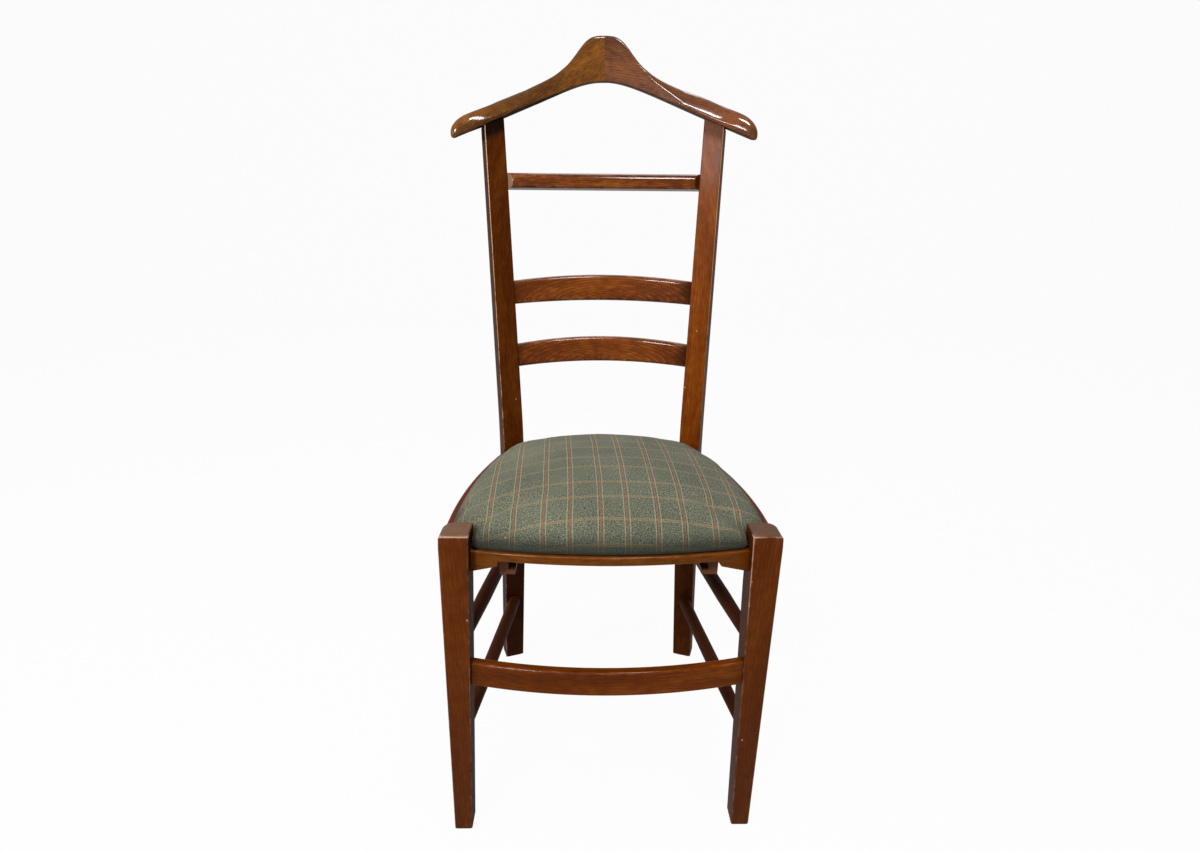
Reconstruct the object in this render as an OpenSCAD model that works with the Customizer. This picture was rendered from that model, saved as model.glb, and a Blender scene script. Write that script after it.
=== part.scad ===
// Clothes valet chair: a dining-height side chair whose rear posts run up to a
// coat-hanger top rail, with a trouser bar and two bowed slats between them.
// Millimetres. +X is the right of a person facing the chair, +Y is the back, +Z is up.
// All depths below are measured from the front faces of the front legs.

/* [Front legs] */
// How far the front legs stand up over the seat frame
leg_proud = 25.5; // [16:0.5:32]
// Distance from the middle of the chair to the outer face of a leg, at its top
leg_top_out = 189; // [182:0.5:192]
// Distance from the middle of the chair to the outer face of a leg, at the floor
leg_foot_out = 201; // [192:0.5:210]
// Width of a leg at its top
leg_top_w = 31.5; // [29:0.5:34]
// Width of a leg at the floor
leg_foot_w = 21.5; // [18:0.5:27]
// Depth of a leg at its top
leg_top_d = 35; // [33:0.5:38]
// Depth of a leg at the floor
leg_foot_d = 27; // [22:0.5:32]
// How far the front face of a leg leans back by the floor
leg_foot_set = 7.4; // [4:0.1:10]
// Radius of the round-over on the outer top edge of a leg
leg_round = 4; // [2:0.5:8]
// Radius of a leg's outer rear corner
leg_corner = 9; // [5:0.5:12]
// Chamfer round the foot of every leg and post
foot_chamfer = 4; // [1:0.5:6]

/* [Rear posts] */
// Half spread of the posts at the floor, to their outer front corners
post_foot_out = 171.2; // [165:0.2:178]
// Half spread of the posts at seat height, to their outer front corners
post_seat_out = 153.2; // [150:0.2:156]
// Half spread of the posts under the hanger, to their outer front corners
post_top_out = 172.6; // [166:0.2:178]
// Depth of the posts' outer front corners at the floor
post_foot_back = 359; // [345:1:375]
// Depth of the posts' outer front corners at seat height
post_seat_back = 330; // [322:1:337]
// Depth of the posts' outer front corners under the hanger
post_top_back = 418.5; // [400:0.5:435]
// Height of the front line of the posts under the hanger
post_top_z = 906; // [860:1:940]
// Width of a post's front face at the floor
post_foot_w = 27.5; // [24:0.5:31]
// Width of a post's front face at seat height
post_seat_w = 30.5; // [28:0.5:33]
// Width of a post's front face under the hanger
post_top_w = 27.5; // [25:0.5:31]
// Thickness of a post at the floor
post_foot_d = 28; // [25:0.5:31]
// Thickness of a post at seat height
post_seat_d = 34; // [31:0.5:36]
// Thickness of a post under the hanger
post_top_d = 29; // [27:0.5:32]
// Turn of the posts in plan, so that their front faces look inwards
post_turn = 18.5; // [16:0.5:21]
// Height over which the bend at the seat is blended
post_bend = 120; // [80:5:160]

/* [Seat frame] */
// Height of the top of the seat frame
seat_h = 426.5; // [421:0.5:432]
// Thickness of the front rail
front_rail_t = 14; // [12:0.5:16]
// Height of the front rail between the runners
front_rail_h = 9.5; // [8.5:0.5:13]
// Height of the front rail at the legs
front_rail_end_h = 24.5; // [22:0.5:28]
// Depth at which the front rail meets the legs
front_rail_set = 14; // [11:0.5:17]
// How far the front rail bows forward
front_rail_bow = 17.5; // [12:0.5:20]
// Half width of the shallow middle part of the front rail
front_rail_mid = 126; // [118:1:130]
// Depth of the step where the front rail gets its ears
front_rail_step = 3.5; // [2:0.5:6]
// Half width over the side rails at their widest
side_rail_out = 197; // [194:0.5:200]
// Depth at which the side rails are widest
side_rail_wide = 88; // [75:1:100]
// Radius of the side rails' outer face
side_rail_r = 745; // [725:5:765]
// Width of a side rail in plan
side_rail_w = 30; // [28:0.5:32]
// Height of a side rail
side_rail_h = 24; // [22:0.5:26]
// Thickness of the rear rail
rear_rail_t = 20; // [17:0.5:22]
// Height of the rear rail
rear_rail_h = 30; // [28:1:38]
// How far the rear rail lies behind the posts' inner front corners
rear_rail_set = 2; // [1:0.5:4]

/* [Stretchers] */
// Height of the underside of the front stretcher
stretcher_z = 245; // [220:1:262]
// Height of the front stretcher itself
stretcher_h = 31.5; // [27:0.5:38]
// Thickness of the front stretcher
stretcher_t = 12.5; // [11:0.5:16]
// How far the front stretcher lies behind the front faces of the legs at its ends
stretcher_set = 6; // [5:0.5:9]
// How far the front stretcher bows forward
stretcher_bow = 20.5; // [12:0.5:26]
// Diameter of the round side stretchers
rod_d = 20; // [18:0.5:22]
// Their diameter where they meet the front legs
rod_end_d = 16; // [15:0.5:18]
// Length over which they thin towards the front legs
rod_thin = 110; // [60:5:150]
// Height of the upper side stretchers at the front legs
rod_up_front_z = 290; // [270:1:310]
// Height of the upper side stretchers at the posts
rod_up_rear_z = 269; // [255:1:295]
// Height of the lower side stretchers at the front legs
rod_low_front_z = 150; // [120:1:180]
// Height of the lower side stretchers at the posts
rod_low_rear_z = 131; // [110:1:165]

/* [Back] */
// Place of the lower slat between seat frame and trouser bar, as a share of the way up
slat_low_share = 0.37; // [0.33:0.005:0.41]
// Place of the upper slat between seat frame and trouser bar, as a share of the way up
slat_up_share = 0.604; // [0.57:0.002:0.65]
// Height of a slat at its ends
slat_h = 35; // [28:0.5:42]
// Rise of a slat's top edge in the middle
slat_crest = 12.5; // [6:0.5:16]
// Rise of a slat's bottom edge in the middle
slat_arch = 8.5; // [3:0.5:12]
// How far a slat bows back
slat_bow = 30; // [18:1:40]
// Thickness of a slat
slat_t = 14; // [12:0.5:16]
// How far a slat lies behind the posts' inner front corners
slat_set = 2; // [1:0.5:4]
// How far the middle of the trouser bar lies under the tops of the posts
bar_drop = 79; // [60:1:115]
// Height of the trouser bar
bar_h = 21; // [18:0.5:25]
// Thickness of the trouser bar
bar_t = 22; // [18:0.5:23]
// How far the trouser bar stands in front of the posts' inner front corners
bar_proud = 6; // [2:0.5:8]
// Bevel at each end of the trouser bar
bar_bevel = 8; // [4:0.5:10]
// Diameter of the trouser bar's round tenons
bar_tenon_d = 10; // [8:0.5:11]
// How far those tenons lie behind the posts' inner front corners
bar_tenon_back = 9; // [8:0.5:10]
// Radius of the trouser bar's long edges
bar_round = 5; // [2:0.5:7]

/* [Hanger] */
// Half length of the hanger
hanger_half = 220.5; // [210:0.5:230]
// Height of the arms' top line, extended to the middle, above the post line
hanger_top = 101.5; // [98:0.5:106]
// Angle at which the arms' top line falls outwards
hanger_top_angle = 25.36; // [24.7:0.02:26.1]
// Height of the crown over the arms
crown_h = 42; // [30:0.5:50]
// Half width of the crown
crown_w = 44.5; // [38:0.5:52]
// Height of the underside, extended to the middle, above the post line
hanger_under = 89; // [86:0.5:92]
// Angle at which the underside falls outwards
hanger_under_angle = 27.16; // [26.8:0.02:27.7]
// Length over which the underside rounds in the middle
under_round = 43; // [35:1:50]
// Thickness of the hanger
hanger_t = 26; // [24:0.5:28]
// How far the middle of the hanger lies behind the post line
hanger_sweep = 29.5; // [27:0.5:32]
// Plan angle of an arm against straight across, at the joint
arm_angle = 4.9; // [4:0.1:6]
// Extra forward curve of an arm over its length
arm_curve = 29; // [24:0.5:32]
// Length of the rounded tip
tip_len = 26; // [18:1:34]

/* [Seat pad] */
// Width of the wooden rim left bare outside the pad
rim_w = 10; // [7:0.5:13]
// How far the middle of the pad's rear edge lies behind the posts' outer front corners
pad_back_past = 22; // [16:1:24]
// Forward bend of the pad's rear edge at the posts
pad_back_bend = 25; // [24:0.5:30]
// Height of the pad's crown over the frame
pad_crown = 49.5; // [40:0.5:58]
// Height of the pad's side
pad_side = 22; // [18:0.5:24]
// Height of the pad's side at its rear corners
pad_corner_side = 12; // [11:0.5:18]
// How far the pad's side draws in at its foot
pad_draw = 4; // [2:0.5:6]
// Gap left between the pad and the front legs
pad_notch_gap = 1.5; // [1:0.5:4]
// Thickness of the plywood board
board_t = 8; // [6:0.5:10]
// Thickness of the fabric with its lining
cover_t = 1.2; // [0.8:0.1:2]
// Width of fabric turned under the board
turn_under = 12; // [8:1:12]

/* [Runners] */
// Half distance between the inner edges of the runners' ledges
runner_in = 108.5; // [102:0.5:109]
// Width of a runner with its ledge
runner_w = 18.5; // [18.5:0.5:20]
// Width of the ledge
ledge_w = 8; // [6:0.5:8]
// Thickness of the ledge
ledge_t = 6; // [4:0.5:9]
// Height of a runner
runner_h = 39.5; // [37:0.5:46]
// Depth at which a runner starts
runner_front = 24.5; // [24:0.5:30]
// Length of a runner
runner_len = 294; // [250:1:298]

/* [Joints] */
// Length of a tenon
tenon_len = 14; // [9:0.5:15]
// Shoulder round a flat tenon, on the faces
tenon_face = 3; // [2:0.5:4]
// Shoulder above and below a flat tenon
tenon_edge = 5; // [3:0.5:8]
// Diameter of the round tenons
round_tenon_d = 14; // [10:0.5:15]
// Diameter of the rail dowels
dowel_d = 6; // [5:0.5:7]
// Length of the rail dowels
dowel_len = 30; // [20:1:32]
// Diameter of the dowels between posts and hanger
hanger_dowel_d = 10; // [8:0.5:12]
// Glue gap round tenons and dowels
fit_gap = 0.1; // [0.05:0.05:0.2]
// Gap at soft parts
soft_gap = 0.3; // [0.2:0.05:0.5]
// Shank diameter of the screws
screw_d = 4; // [3:0.5:5]
// Head diameter of the screws
screw_head_d = 8; // [7:0.5:9]
// Length of the screws
screw_len = 24; // [22:1:26]
// How far a screw enters the seat board
screw_bite = 6.5; // [5:0.5:7]

/* [Hidden] */
$fn = 96;
round_fn = 720;                 // facets of the wide arcs
far = 1200;                     // longer than any piece, for cutting bodies

leg_colour = [0.40, 0.20, 0.07];
rail_colour = [0.55, 0.30, 0.11];
rod_colour = [0.30, 0.14, 0.07];
hanger_left_colour = [0.42, 0.24, 0.09];
hanger_right_colour = [0.44, 0.19, 0.10];
runner_colour = [0.42, 0.23, 0.15];
fabric_colour = [0.30, 0.35, 0.29];
foam_colour = [0.90, 0.85, 0.62];
ply_colour = [0.76, 0.62, 0.42];
steel_colour = [0.70, 0.70, 0.72];
dowel_colour = [0.80, 0.66, 0.45];

function mix(a, b, t) = a + (b - a) * t;
function bow_radius(half, bow) = (half * half + bow * bow) / (2 * bow);
// fall of a circle of radius r at distance x from its crown
function sagitta(r, x) = r - sqrt(r * r - x * x);
function reversed(l) = [for (i = [len(l) - 1 : -1 : 0]) l[i]];

// ---- the rear posts' outer front corners, against height z
rake = atan((post_top_back - post_seat_back) / (post_top_z - seat_h));
function post_span(z, foot, seat, top) =
    z < seat_h ? mix(foot, seat, z / seat_h)
               : mix(seat, top, (z - seat_h) / (post_top_z - seat_h));
function post_out(z) = post_span(z, post_foot_out, post_seat_out, post_top_out);
function post_back(z) = post_span(z, post_foot_back, post_seat_back, post_top_back);
function post_w(z) = post_span(z, post_foot_w, post_seat_w, post_top_w);
// their inner front corners, and how far those lie behind the outer ones on the rake
function post_in(z) = post_out(z) - post_w(z) * cos(post_turn);
function post_in_back(z) = post_back(z) + post_w(z) * sin(post_turn);
function inner_line(z) = post_w(z) * sin(post_turn) * cos(rake);

// ---- heights of the trouser bar and the slats' ends
bar_z = post_top_z - bar_drop;
slat_low_z = mix(seat_h, bar_z, slat_low_share);
slat_up_z = mix(seat_h, bar_z, slat_up_share);

// ---- the front legs, against height z
leg_h = seat_h + leg_proud;
function leg_out(z) = mix(leg_foot_out, leg_top_out, z / leg_h);
function leg_w(z) = mix(leg_foot_w, leg_top_w, z / leg_h);
function leg_in(z) = leg_out(z) - leg_w(z);
function leg_front(z) = mix(leg_foot_set, 0, z / leg_h);
function leg_back(z) = leg_front(z) + mix(leg_foot_d, leg_top_d, z / leg_h);

// side 1 is the +X side of the chair, side -1 is its mirror image
module on_side(side) { if (side < 0) mirror([1, 0, 0]) children(); else children(); }
module both_sides() { for (s = [-1, 1]) on_side(s) children(); }
// a frame on the posts' front line at height z, leaning back with them
module raked(z) { translate([0, post_back(z), z]) rotate([-rake, 0, 0]) children(); }
module along_depth(len) { rotate([90, 0, 0]) linear_extrude(len, center = true) children(); }
module along_width(len) { rotate([90, 0, 90]) linear_extrude(len, center = true) children(); }

module rounded_rect(w, h, r) {
    square([w - 2 * r, h], center = true);
    square([w, h - 2 * r], center = true);
    for (x = [-1, 1], y = [-1, 1])
        translate([x * (w / 2 - r), y * (h / 2 - r)]) circle(r);
}

// a rod of diameter d from a to b, longer by extra at both ends
module rod(a, b, d, extra = 0) {
    v = b - a;
    translate(a) rotate([0, acos(v[2] / norm(v)), atan2(v[1], v[0])])
        translate([0, 0, -extra]) cylinder(d = d, h = norm(v) + 2 * extra);
}

// a flat band bent to a circle: outer radius r, thickness t, height h, from z = 0
module bent_band(r, t, h) {
    difference() {
        cylinder(r = r, h = h, $fn = round_fn);
        translate([0, 0, -1]) cylinder(r = r - t, h = h + 2, $fn = round_fn);
    }
}

// ---- front legs
module leg_slab() {
    c = foot_chamfer;
    along_width(far) polygon([[leg_front(0) + c, 0], [leg_back(0) - c, 0],
        [leg_back(c), c], [leg_back(leg_h), leg_h], [leg_front(leg_h), leg_h], [leg_front(c), c]]);
}

module leg_blank() {
    c = foot_chamfer;
    intersection() {
        along_depth(far) difference() {
            polygon([[leg_in(0) + c, 0], [leg_out(0) - c, 0], [leg_out(c), c],
                [leg_out(leg_h), leg_h], [leg_in(leg_h), leg_h], [leg_in(c), c]]);
            translate([leg_out(leg_h) - leg_round, leg_h - leg_round]) difference() {
                square(2 * leg_round);
                circle(leg_round);
            }
        }
        leg_slab();
        leg_plan();
    }
}

// everything on the leg's side of its rounded outer rear corner
corner_ease = 0.3;              // lets the corner's arc cross the flat faces cleanly
module leg_plan() {
    c = leg_corner;
    low = -1;
    high = leg_h + 1;
    rod([leg_out(0) - c, leg_back(0) - c, 0], [leg_out(leg_h) - c, leg_back(leg_h) - c, leg_h],
        2 * (c + corner_ease), 1);
    along_depth(far) polygon([[0, low], [leg_out(low) - c, low], [leg_out(high) - c, high], [0, high]]);
    along_width(far) polygon([[-c, low], [leg_back(low) - c, low], [leg_back(high) - c, high],
        [-c, high]]);
}

module front_leg(side) {
    on_side(side) color(leg_colour) difference() {
        leg_blank();
        stretcher_tenon(fit_gap);
        front_rail_dowels(fit_gap);
        side_rail_front_dowels(fit_gap);
        side_rod_tenons(fit_gap);
    }
}

// ---- rear posts
bend_steps = 10;
post_spare = 30;                // length above the post line, cut off under the hanger
// quadratic curve through a and c, pulled towards b
function bend(a, b, c, t) = mix(mix(a, b, t), mix(b, c, t), t);
// one edge of a post's profile: straight to the bend, blended, straight to the top
function post_edge(foot, seat, top) = let (
    low = seat_h - post_bend / 2,
    high = seat_h + post_bend / 2,
    up = post_top_z - seat_h,
    p_low = [mix(foot, seat, low / seat_h), low],
    p_high = [mix(seat, top, (high - seat_h) / up), high])
    concat([[foot, 0]],
        [for (i = [0 : bend_steps]) bend(p_low, [seat, seat_h], p_high, i / bend_steps)],
        [[mix(seat, top, (up + post_spare) / up), post_top_z + post_spare]]);
// plan axes of a turned post: across its front face, and through its thickness
function across(x, y) = x * cos(post_turn) - y * sin(post_turn);
function through(x, y) = x * sin(post_turn) + y * cos(post_turn);

module post_profile(outer, inner) {
    difference() {
        polygon(concat(outer, reversed(inner)));
        for (corner = [outer[0], inner[0]])
            translate(corner) rotate(45) square(foot_chamfer * sqrt(2), center = true);
    }
}

post_corners = [[post_foot_out, post_foot_back], [post_seat_out, post_seat_back],
    [post_top_out, post_top_back]];

// a post's front and rear faces, without its sides
module post_slab() {
    v = [for (p = post_corners) through(p[0], p[1])];
    rotate([0, 0, -post_turn]) along_width(2 * far) post_profile(
        post_edge(v[0] + post_foot_d, v[1] + post_seat_d, v[2] + post_top_d),
        post_edge(v[0], v[1], v[2]));
}

module post_blank() {
    u = [for (p = post_corners) across(p[0], p[1])];
    intersection() {
        rotate([0, 0, -post_turn]) along_depth(2 * far) post_profile(post_edge(u[0], u[1], u[2]),
            post_edge(u[0] - post_foot_w, u[1] - post_seat_w, u[2] - post_top_w));
        post_slab();
    }
}

module rear_post(side) {
    on_side(side) color(leg_colour) difference() {
        post_blank();
        above_post();
        for (z = [slat_low_z, slat_up_z]) slat_tenon(z, fit_gap);
        bar_tenon(fit_gap);
        side_rail_rear_dowels(fit_gap);
        rear_rail_dowels(fit_gap);
        hanger_post_dowel(fit_gap);
        side_rod_tenons(fit_gap);
    }
}

// ---- seat frame
frame_under = seat_h - front_rail_end_h;
dowel_heights = [frame_under + 10, frame_under + 19.5];
rail_r = bow_radius(leg_in(seat_h), front_rail_bow);
rail_crown = front_rail_set - front_rail_bow;

module front_rail() {
    side_slope = 1.5;
    reach = leg_in(frame_under) + 8;
    half = [[front_rail_mid, seat_h - front_rail_h],
        [front_rail_mid + side_slope, seat_h - front_rail_h - front_rail_step],
        [leg_in(frame_under), frame_under], [reach, frame_under], [reach, seat_h]];
    color(rail_colour) difference() {
        intersection() {
            translate([0, rail_crown + rail_r, frame_under])
                bent_band(rail_r, front_rail_t, front_rail_end_h);
            along_depth(8 * (front_rail_bow + front_rail_t))
                polygon(concat(half, reversed([for (p = half) [-p[0], p[1]]])));
        }
        both_sides() leg_blank();
        both_sides() front_rail_dowels(fit_gap);
    }
}

module front_rail_dowels(gap = 0) {
    y = front_rail_set + front_rail_t / 2;
    for (z = dowel_heights)
        rod([leg_in(z) - dowel_len / 2, y, z], [leg_in(z) + dowel_len / 2, y, z], dowel_d + 2 * gap, gap);
}

side_rail_centre = [side_rail_out - side_rail_r, side_rail_wide];
function side_rail_face(y) = side_rail_centre[0]
    + sqrt(side_rail_r * side_rail_r - pow(y - side_rail_wide, 2));

module side_rail(side) {
    y0 = leg_back(seat_h) / 2;
    on_side(side) color(rail_colour) difference() {
        intersection() {
            translate([side_rail_centre[0], side_rail_centre[1], seat_h - side_rail_h])
                bent_band(side_rail_r, side_rail_w, side_rail_h);
            translate([0, y0, 0]) cube([far, post_seat_back + post_seat_d / 2 - y0, far]);
        }
        side_rail_nose_cut();
        leg_slab();
        post_slab();
        side_rail_front_dowels(fit_gap);
        side_rail_rear_dowels(fit_gap);
        seat_screw_holes();
    }
}

// the outer face turns in towards the leg over its front end
nose_r = 250;
nose_y = 95;
module side_rail_nose_cut() {
    meet = leg_back(seat_h);
    difference() {
        translate([leg_in(seat_h), 0, 0]) cube([far, nose_y, far]);
        translate([leg_out(seat_h) + 1 - sqrt(nose_r * nose_r - pow(nose_y - meet, 2)), nose_y, 0])
            cylinder(r = nose_r, h = far, $fn = round_fn);
    }
}

module side_rail_front_dowels(gap = 0) {
    x = leg_out(seat_h) - leg_corner;
    for (z = dowel_heights)
        rod([x, leg_back(z) - dowel_len / 2, z], [x, leg_back(z) + dowel_len / 2, z],
            dowel_d + 2 * gap, gap);
}

module side_rail_rear_dowels(gap = 0) {
    in = side_rail_w / 2 + post_seat_out - side_rail_face(post_seat_back);
    for (z = dowel_heights)
        translate([post_out(z), post_back(z), z]) rotate([0, 0, -post_turn])
            rod([-in, -dowel_len / 2, 0], [-in, dowel_len / 2, 0], dowel_d + 2 * gap, gap);
}

rear_rail_front = post_in_back(seat_h) + rear_rail_set;

module rear_rail() {
    color(rail_colour) difference() {
        translate([-post_in(seat_h) - post_seat_d / 2, rear_rail_front, seat_h - rear_rail_h])
            cube([2 * post_in(seat_h) + post_seat_d, rear_rail_t, rear_rail_h]);
        both_sides() post_blank();
        both_sides() rear_rail_dowels(fit_gap);
    }
}

module rear_rail_dowels(gap = 0) {
    y = rear_rail_front + rear_rail_t / 2;
    for (z = dowel_heights)
        rod([post_in(z) - dowel_len / 2, y, z], [post_in(z) + dowel_len / 2, y, z],
            dowel_d + 2 * gap, gap);
}

module rail_dowels() {
    color(dowel_colour) both_sides() {
        front_rail_dowels();
        side_rail_front_dowels();
        side_rail_rear_dowels();
        rear_rail_dowels();
    }
}

// ---- stretchers
stretcher_mid = stretcher_z + stretcher_h / 2;
stretcher_r = bow_radius(leg_in(stretcher_mid), stretcher_bow);
stretcher_crown = stretcher_set - stretcher_bow;

// the bent stretcher, taken in by face and edge, and reaching past the legs' inner faces
module stretcher_band(face, edge, reach) {
    intersection() {
        translate([0, stretcher_crown + stretcher_r, stretcher_z + edge])
            bent_band(stretcher_r - face, stretcher_t - 2 * face, stretcher_h - 2 * edge);
        translate([-leg_in(stretcher_mid) - reach, stretcher_crown - 1, 0])
            cube([2 * (leg_in(stretcher_mid) + reach), 3 * stretcher_bow + 3 * stretcher_t, far]);
    }
}
module stretcher_tenon(gap = 0) { stretcher_band(tenon_face - gap, tenon_edge - gap, tenon_len + gap); }

module front_stretcher() {
    color(leg_colour) {
        difference() {
            stretcher_band(0, 0, tenon_len / 2);
            both_sides() leg_blank();
        }
        stretcher_tenon();
    }
}

function rod_front(z) = [leg_in(z) + leg_w(z) / 2, leg_back(z), z];
function rod_rear(z) = [post_out(z) - post_w(z) / 2 * cos(post_turn),
    post_back(z) + post_w(z) / 2 * sin(post_turn), z];
rods = [[rod_up_front_z, rod_up_rear_z], [rod_low_front_z, rod_low_rear_z]];

module side_rod_tenons(gap = 0) {
    for (r = rods)
        rod(rod_front(r[0]), rod_rear(r[1]), round_tenon_d + 2 * gap, tenon_len + gap);
}

// a rod from a to b that thins towards a, running a little past both
module thinned_rod(a, b) {
    v = b - a;
    past = tenon_len / 2;
    rotate_extrude_along(a, v) polygon([[0, -past], [rod_end_d / 2, -past], [rod_end_d / 2, 0],
        [rod_d / 2, rod_thin], [rod_d / 2, norm(v) + past], [0, norm(v) + past]]);
}
module rotate_extrude_along(a, v) {
    translate(a) rotate([0, acos(v[2] / norm(v)), atan2(v[1], v[0])]) rotate_extrude() children();
}

module side_stretcher(side, r) {
    on_side(side) color(rod_colour) {
        difference() {
            thinned_rod(rod_front(r[0]), rod_rear(r[1]));
            leg_slab();
            post_blank();
        }
        rod(rod_front(r[0]), rod_rear(r[1]), round_tenon_d, tenon_len);
    }
}

// ---- slats and trouser bar
// a bowed slat, taken in by face and edge, and reaching past the posts' inner front corners
module slat_band(z, face, edge, reach) {
    half = post_in(z);
    r = bow_radius(half, slat_bow);
    crest_r = bow_radius(half, slat_crest);
    arch_r = bow_radius(half, slat_arch);
    raked(z) intersection() {
        translate([0, inner_line(z) + slat_set + slat_bow - r, -slat_h])
            bent_band(r + slat_t - face, slat_t - 2 * face, 2 * slat_h);
        translate([0, far / 4, 0]) along_depth(far / 2) difference() {
            intersection() {
                translate([-half - reach, -slat_h])
                    square([2 * (half + reach), 2 * slat_h + slat_crest]);
                translate([0, slat_h / 2 + slat_crest - edge - crest_r])
                    circle(crest_r, $fn = round_fn);
            }
            translate([0, slat_arch + edge - slat_h / 2 - arch_r]) circle(arch_r, $fn = round_fn);
        }
    }
}
module slat_tenon(z, gap = 0) {
    slat_band(z, tenon_face - gap, tenon_edge - gap, tenon_len + gap);
}

module slat(z) {
    color(leg_colour) {
        difference() {
            slat_band(z, 0, 0, tenon_len / 2);
            both_sides() post_blank();
        }
        slat_tenon(z);
    }
}

module bar_tenon(gap = 0) {
    half = post_in(bar_z);
    raked(bar_z) translate([0, inner_line(bar_z) + bar_tenon_back, 0])
        rod([-half, 0, 0], [half, 0, 0], bar_tenon_d + 2 * gap, tenon_len + gap);
}

module trouser_bar() {
    half = post_in(bar_z);
    face = inner_line(bar_z) - bar_proud;
    color(leg_colour) {
        difference() {
            raked(bar_z) difference() {
                translate([0, face + bar_t / 2, 0])
                    along_width(2 * half + tenon_len) rounded_rect(bar_t, bar_h, bar_round);
                both_sides() translate([half - bar_bevel, face, 0]) rotate([0, 0, 45])
                    translate([-far / 4, -far / 2, -far / 4]) cube(far / 2);
            }
            both_sides() post_blank();
        }
        bar_tenon();
    }
}

// ---- hanger: two arms glued in the middle, on the posts' front line at their tops
crown_soft = 40;                // half width over which the arms' top lines meet
square_corner = 6;              // squareness of the section in the middle and underneath
round_corner = 2.7;             // and of its upper half at the tip
tip_shape = 2.6;                // bluntness of the tip
tip_drop = 0.28;                // share of the height by which the tip's point lies low
arm_rings = 34;
arm_sides = 24;

function arm_top(x) = hanger_top - tan(hanger_top_angle) * sqrt(x * x + crown_soft * crown_soft)
    + crown_h / (1 + pow(x / crown_w, 4));
function arm_under(x) = hanger_under - tan(hanger_under_angle) * sqrt(x * x + under_round * under_round);
function arm_face(x) = hanger_sweep - tan(arm_angle) * x - arm_curve * pow(x / hanger_half, 2);
function arm_taper(x) = let (t = (x - hanger_half + tip_len) / tip_len)
    t <= 0 ? 1 : t >= 1 ? 0.02 : max(0.02, pow(1 - pow(t, tip_shape), 0.5));
function arm_squareness(x, a) = a > 180 ? square_corner
    : mix(square_corner, round_corner, pow(x / hanger_half, 1.5));
// middle of the section's height
function arm_centre(x) = let (t = max(0, (x - hanger_half + tip_len) / tip_len))
    mix(arm_under(x), arm_top(x), 0.5 - tip_drop * t * t);
function bent_power(v, n) = sign(v) * pow(abs(v), 2 / n);
// a point of an arm's skin at distance x and angle a round its section
function arm_point(x, a) = let (
    n = arm_squareness(x, a),
    k = arm_taper(x),
    c = k * hanger_t / 2 * bent_power(cos(a), n),
    s = k * (arm_top(x) - arm_under(x)) / 2 * bent_power(sin(a), n))
    [x, arm_face(x) + hanger_t / 2 + c, arm_centre(x) + s];
// rings close up towards the tip
function arm_station(i) = hanger_half * (1 - pow(1 - i / arm_rings, 1.5));

module hanger_arm() {
    n = arm_sides;
    points = [for (i = [0 : arm_rings], j = [0 : n - 1]) arm_point(arm_station(i), 360 * (j + 0.5) / n)];
    wall = [for (i = [0 : arm_rings - 1], j = [0 : n - 1], h = [0, 1])
        let (p = i * n + j, q = i * n + (j + 1) % n)
            h == 0 ? [p, q, p + n] : [q, q + n, p + n]];
    raked(post_top_z) polyhedron(concat([arm_mid(0)], points, [arm_mid(hanger_half)]),
        concat([for (f = wall) [for (v = f) v + 1]],
            [for (j = [0 : n - 1]) [0, (j + 1) % n + 1, j + 1]],
            [for (j = [0 : n - 1]) let (b = arm_rings * n + 1)
                [b + j, b + (j + 1) % n, b + n]]), convexity = 6);
}
function arm_mid(x) = [x, arm_face(x) + hanger_t / 2, arm_centre(x)];

module hanger(side, colour) {
    on_side(side) color(colour) difference() {
        hanger_arm();
        hanger_joint_dowel(fit_gap);
        hanger_post_dowel(fit_gap);
    }
}

module hanger_joint_dowel(gap = 0) {
    mid = (arm_top(0) + arm_under(0)) / 2;
    apart = (arm_top(0) - arm_under(0)) / 5;
    raked(post_top_z) for (z = [mid - apart, mid + apart])
        rod([-dowel_len / 2, arm_face(0) + hanger_t / 2, z],
            [dowel_len / 2, arm_face(0) + hanger_t / 2, z], dowel_d + 2 * gap, gap);
}

// where a post meets the underside of the hanger, on the posts' front line
post_head = post_top_out - post_top_w / 2 * cos(post_turn) + post_top_d / 2 * sin(post_turn);
hanger_dowel_len = 36;
hanger_dowel_y = arm_face(post_head) + hanger_t / 2 + 2;

module above_post() {
    slope = atan(tan(hanger_under_angle) * post_head / norm([post_head, under_round]));
    raked(post_top_z) translate([post_head, 0, arm_under(post_head) - fit_gap]) rotate([0, slope, 0])
        translate([-far / 4, -far / 4, 0]) cube(far / 2);
}

module hanger_post_dowel(gap = 0) {
    raked(post_top_z) translate([0, 0, arm_under(post_head)])
        rod([post_head, hanger_dowel_y, -hanger_dowel_len / 2 - 2],
            [post_head, hanger_dowel_y, hanger_dowel_len / 2 - 2], hanger_dowel_d + 2 * gap, gap);
}

// ---- seat pad
pad_back = post_seat_back + pad_back_past;
pad_mid = pad_back / 2 + 4;     // depth of the point that the pad's outline is drawn round
pad_points = 56;
pad_wide_z = 8;                 // height at which the pad's side stands out furthest
pad_edge = 40;                  // sharpness of the outline's corners
pad_roll = 14;                  // sharpness of the roll from the top into the side
pad_under = seat_h + soft_gap;
board_under = pad_under + cover_t + soft_gap;

// distance along a ray from the pad's middle to a circle round it
function ray_circle(dir, centre, r) = let (d = [-centre[0], pad_mid - centre[1]], b = d * dir)
    -b + sqrt(b * b - d * d + r * r);
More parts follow.
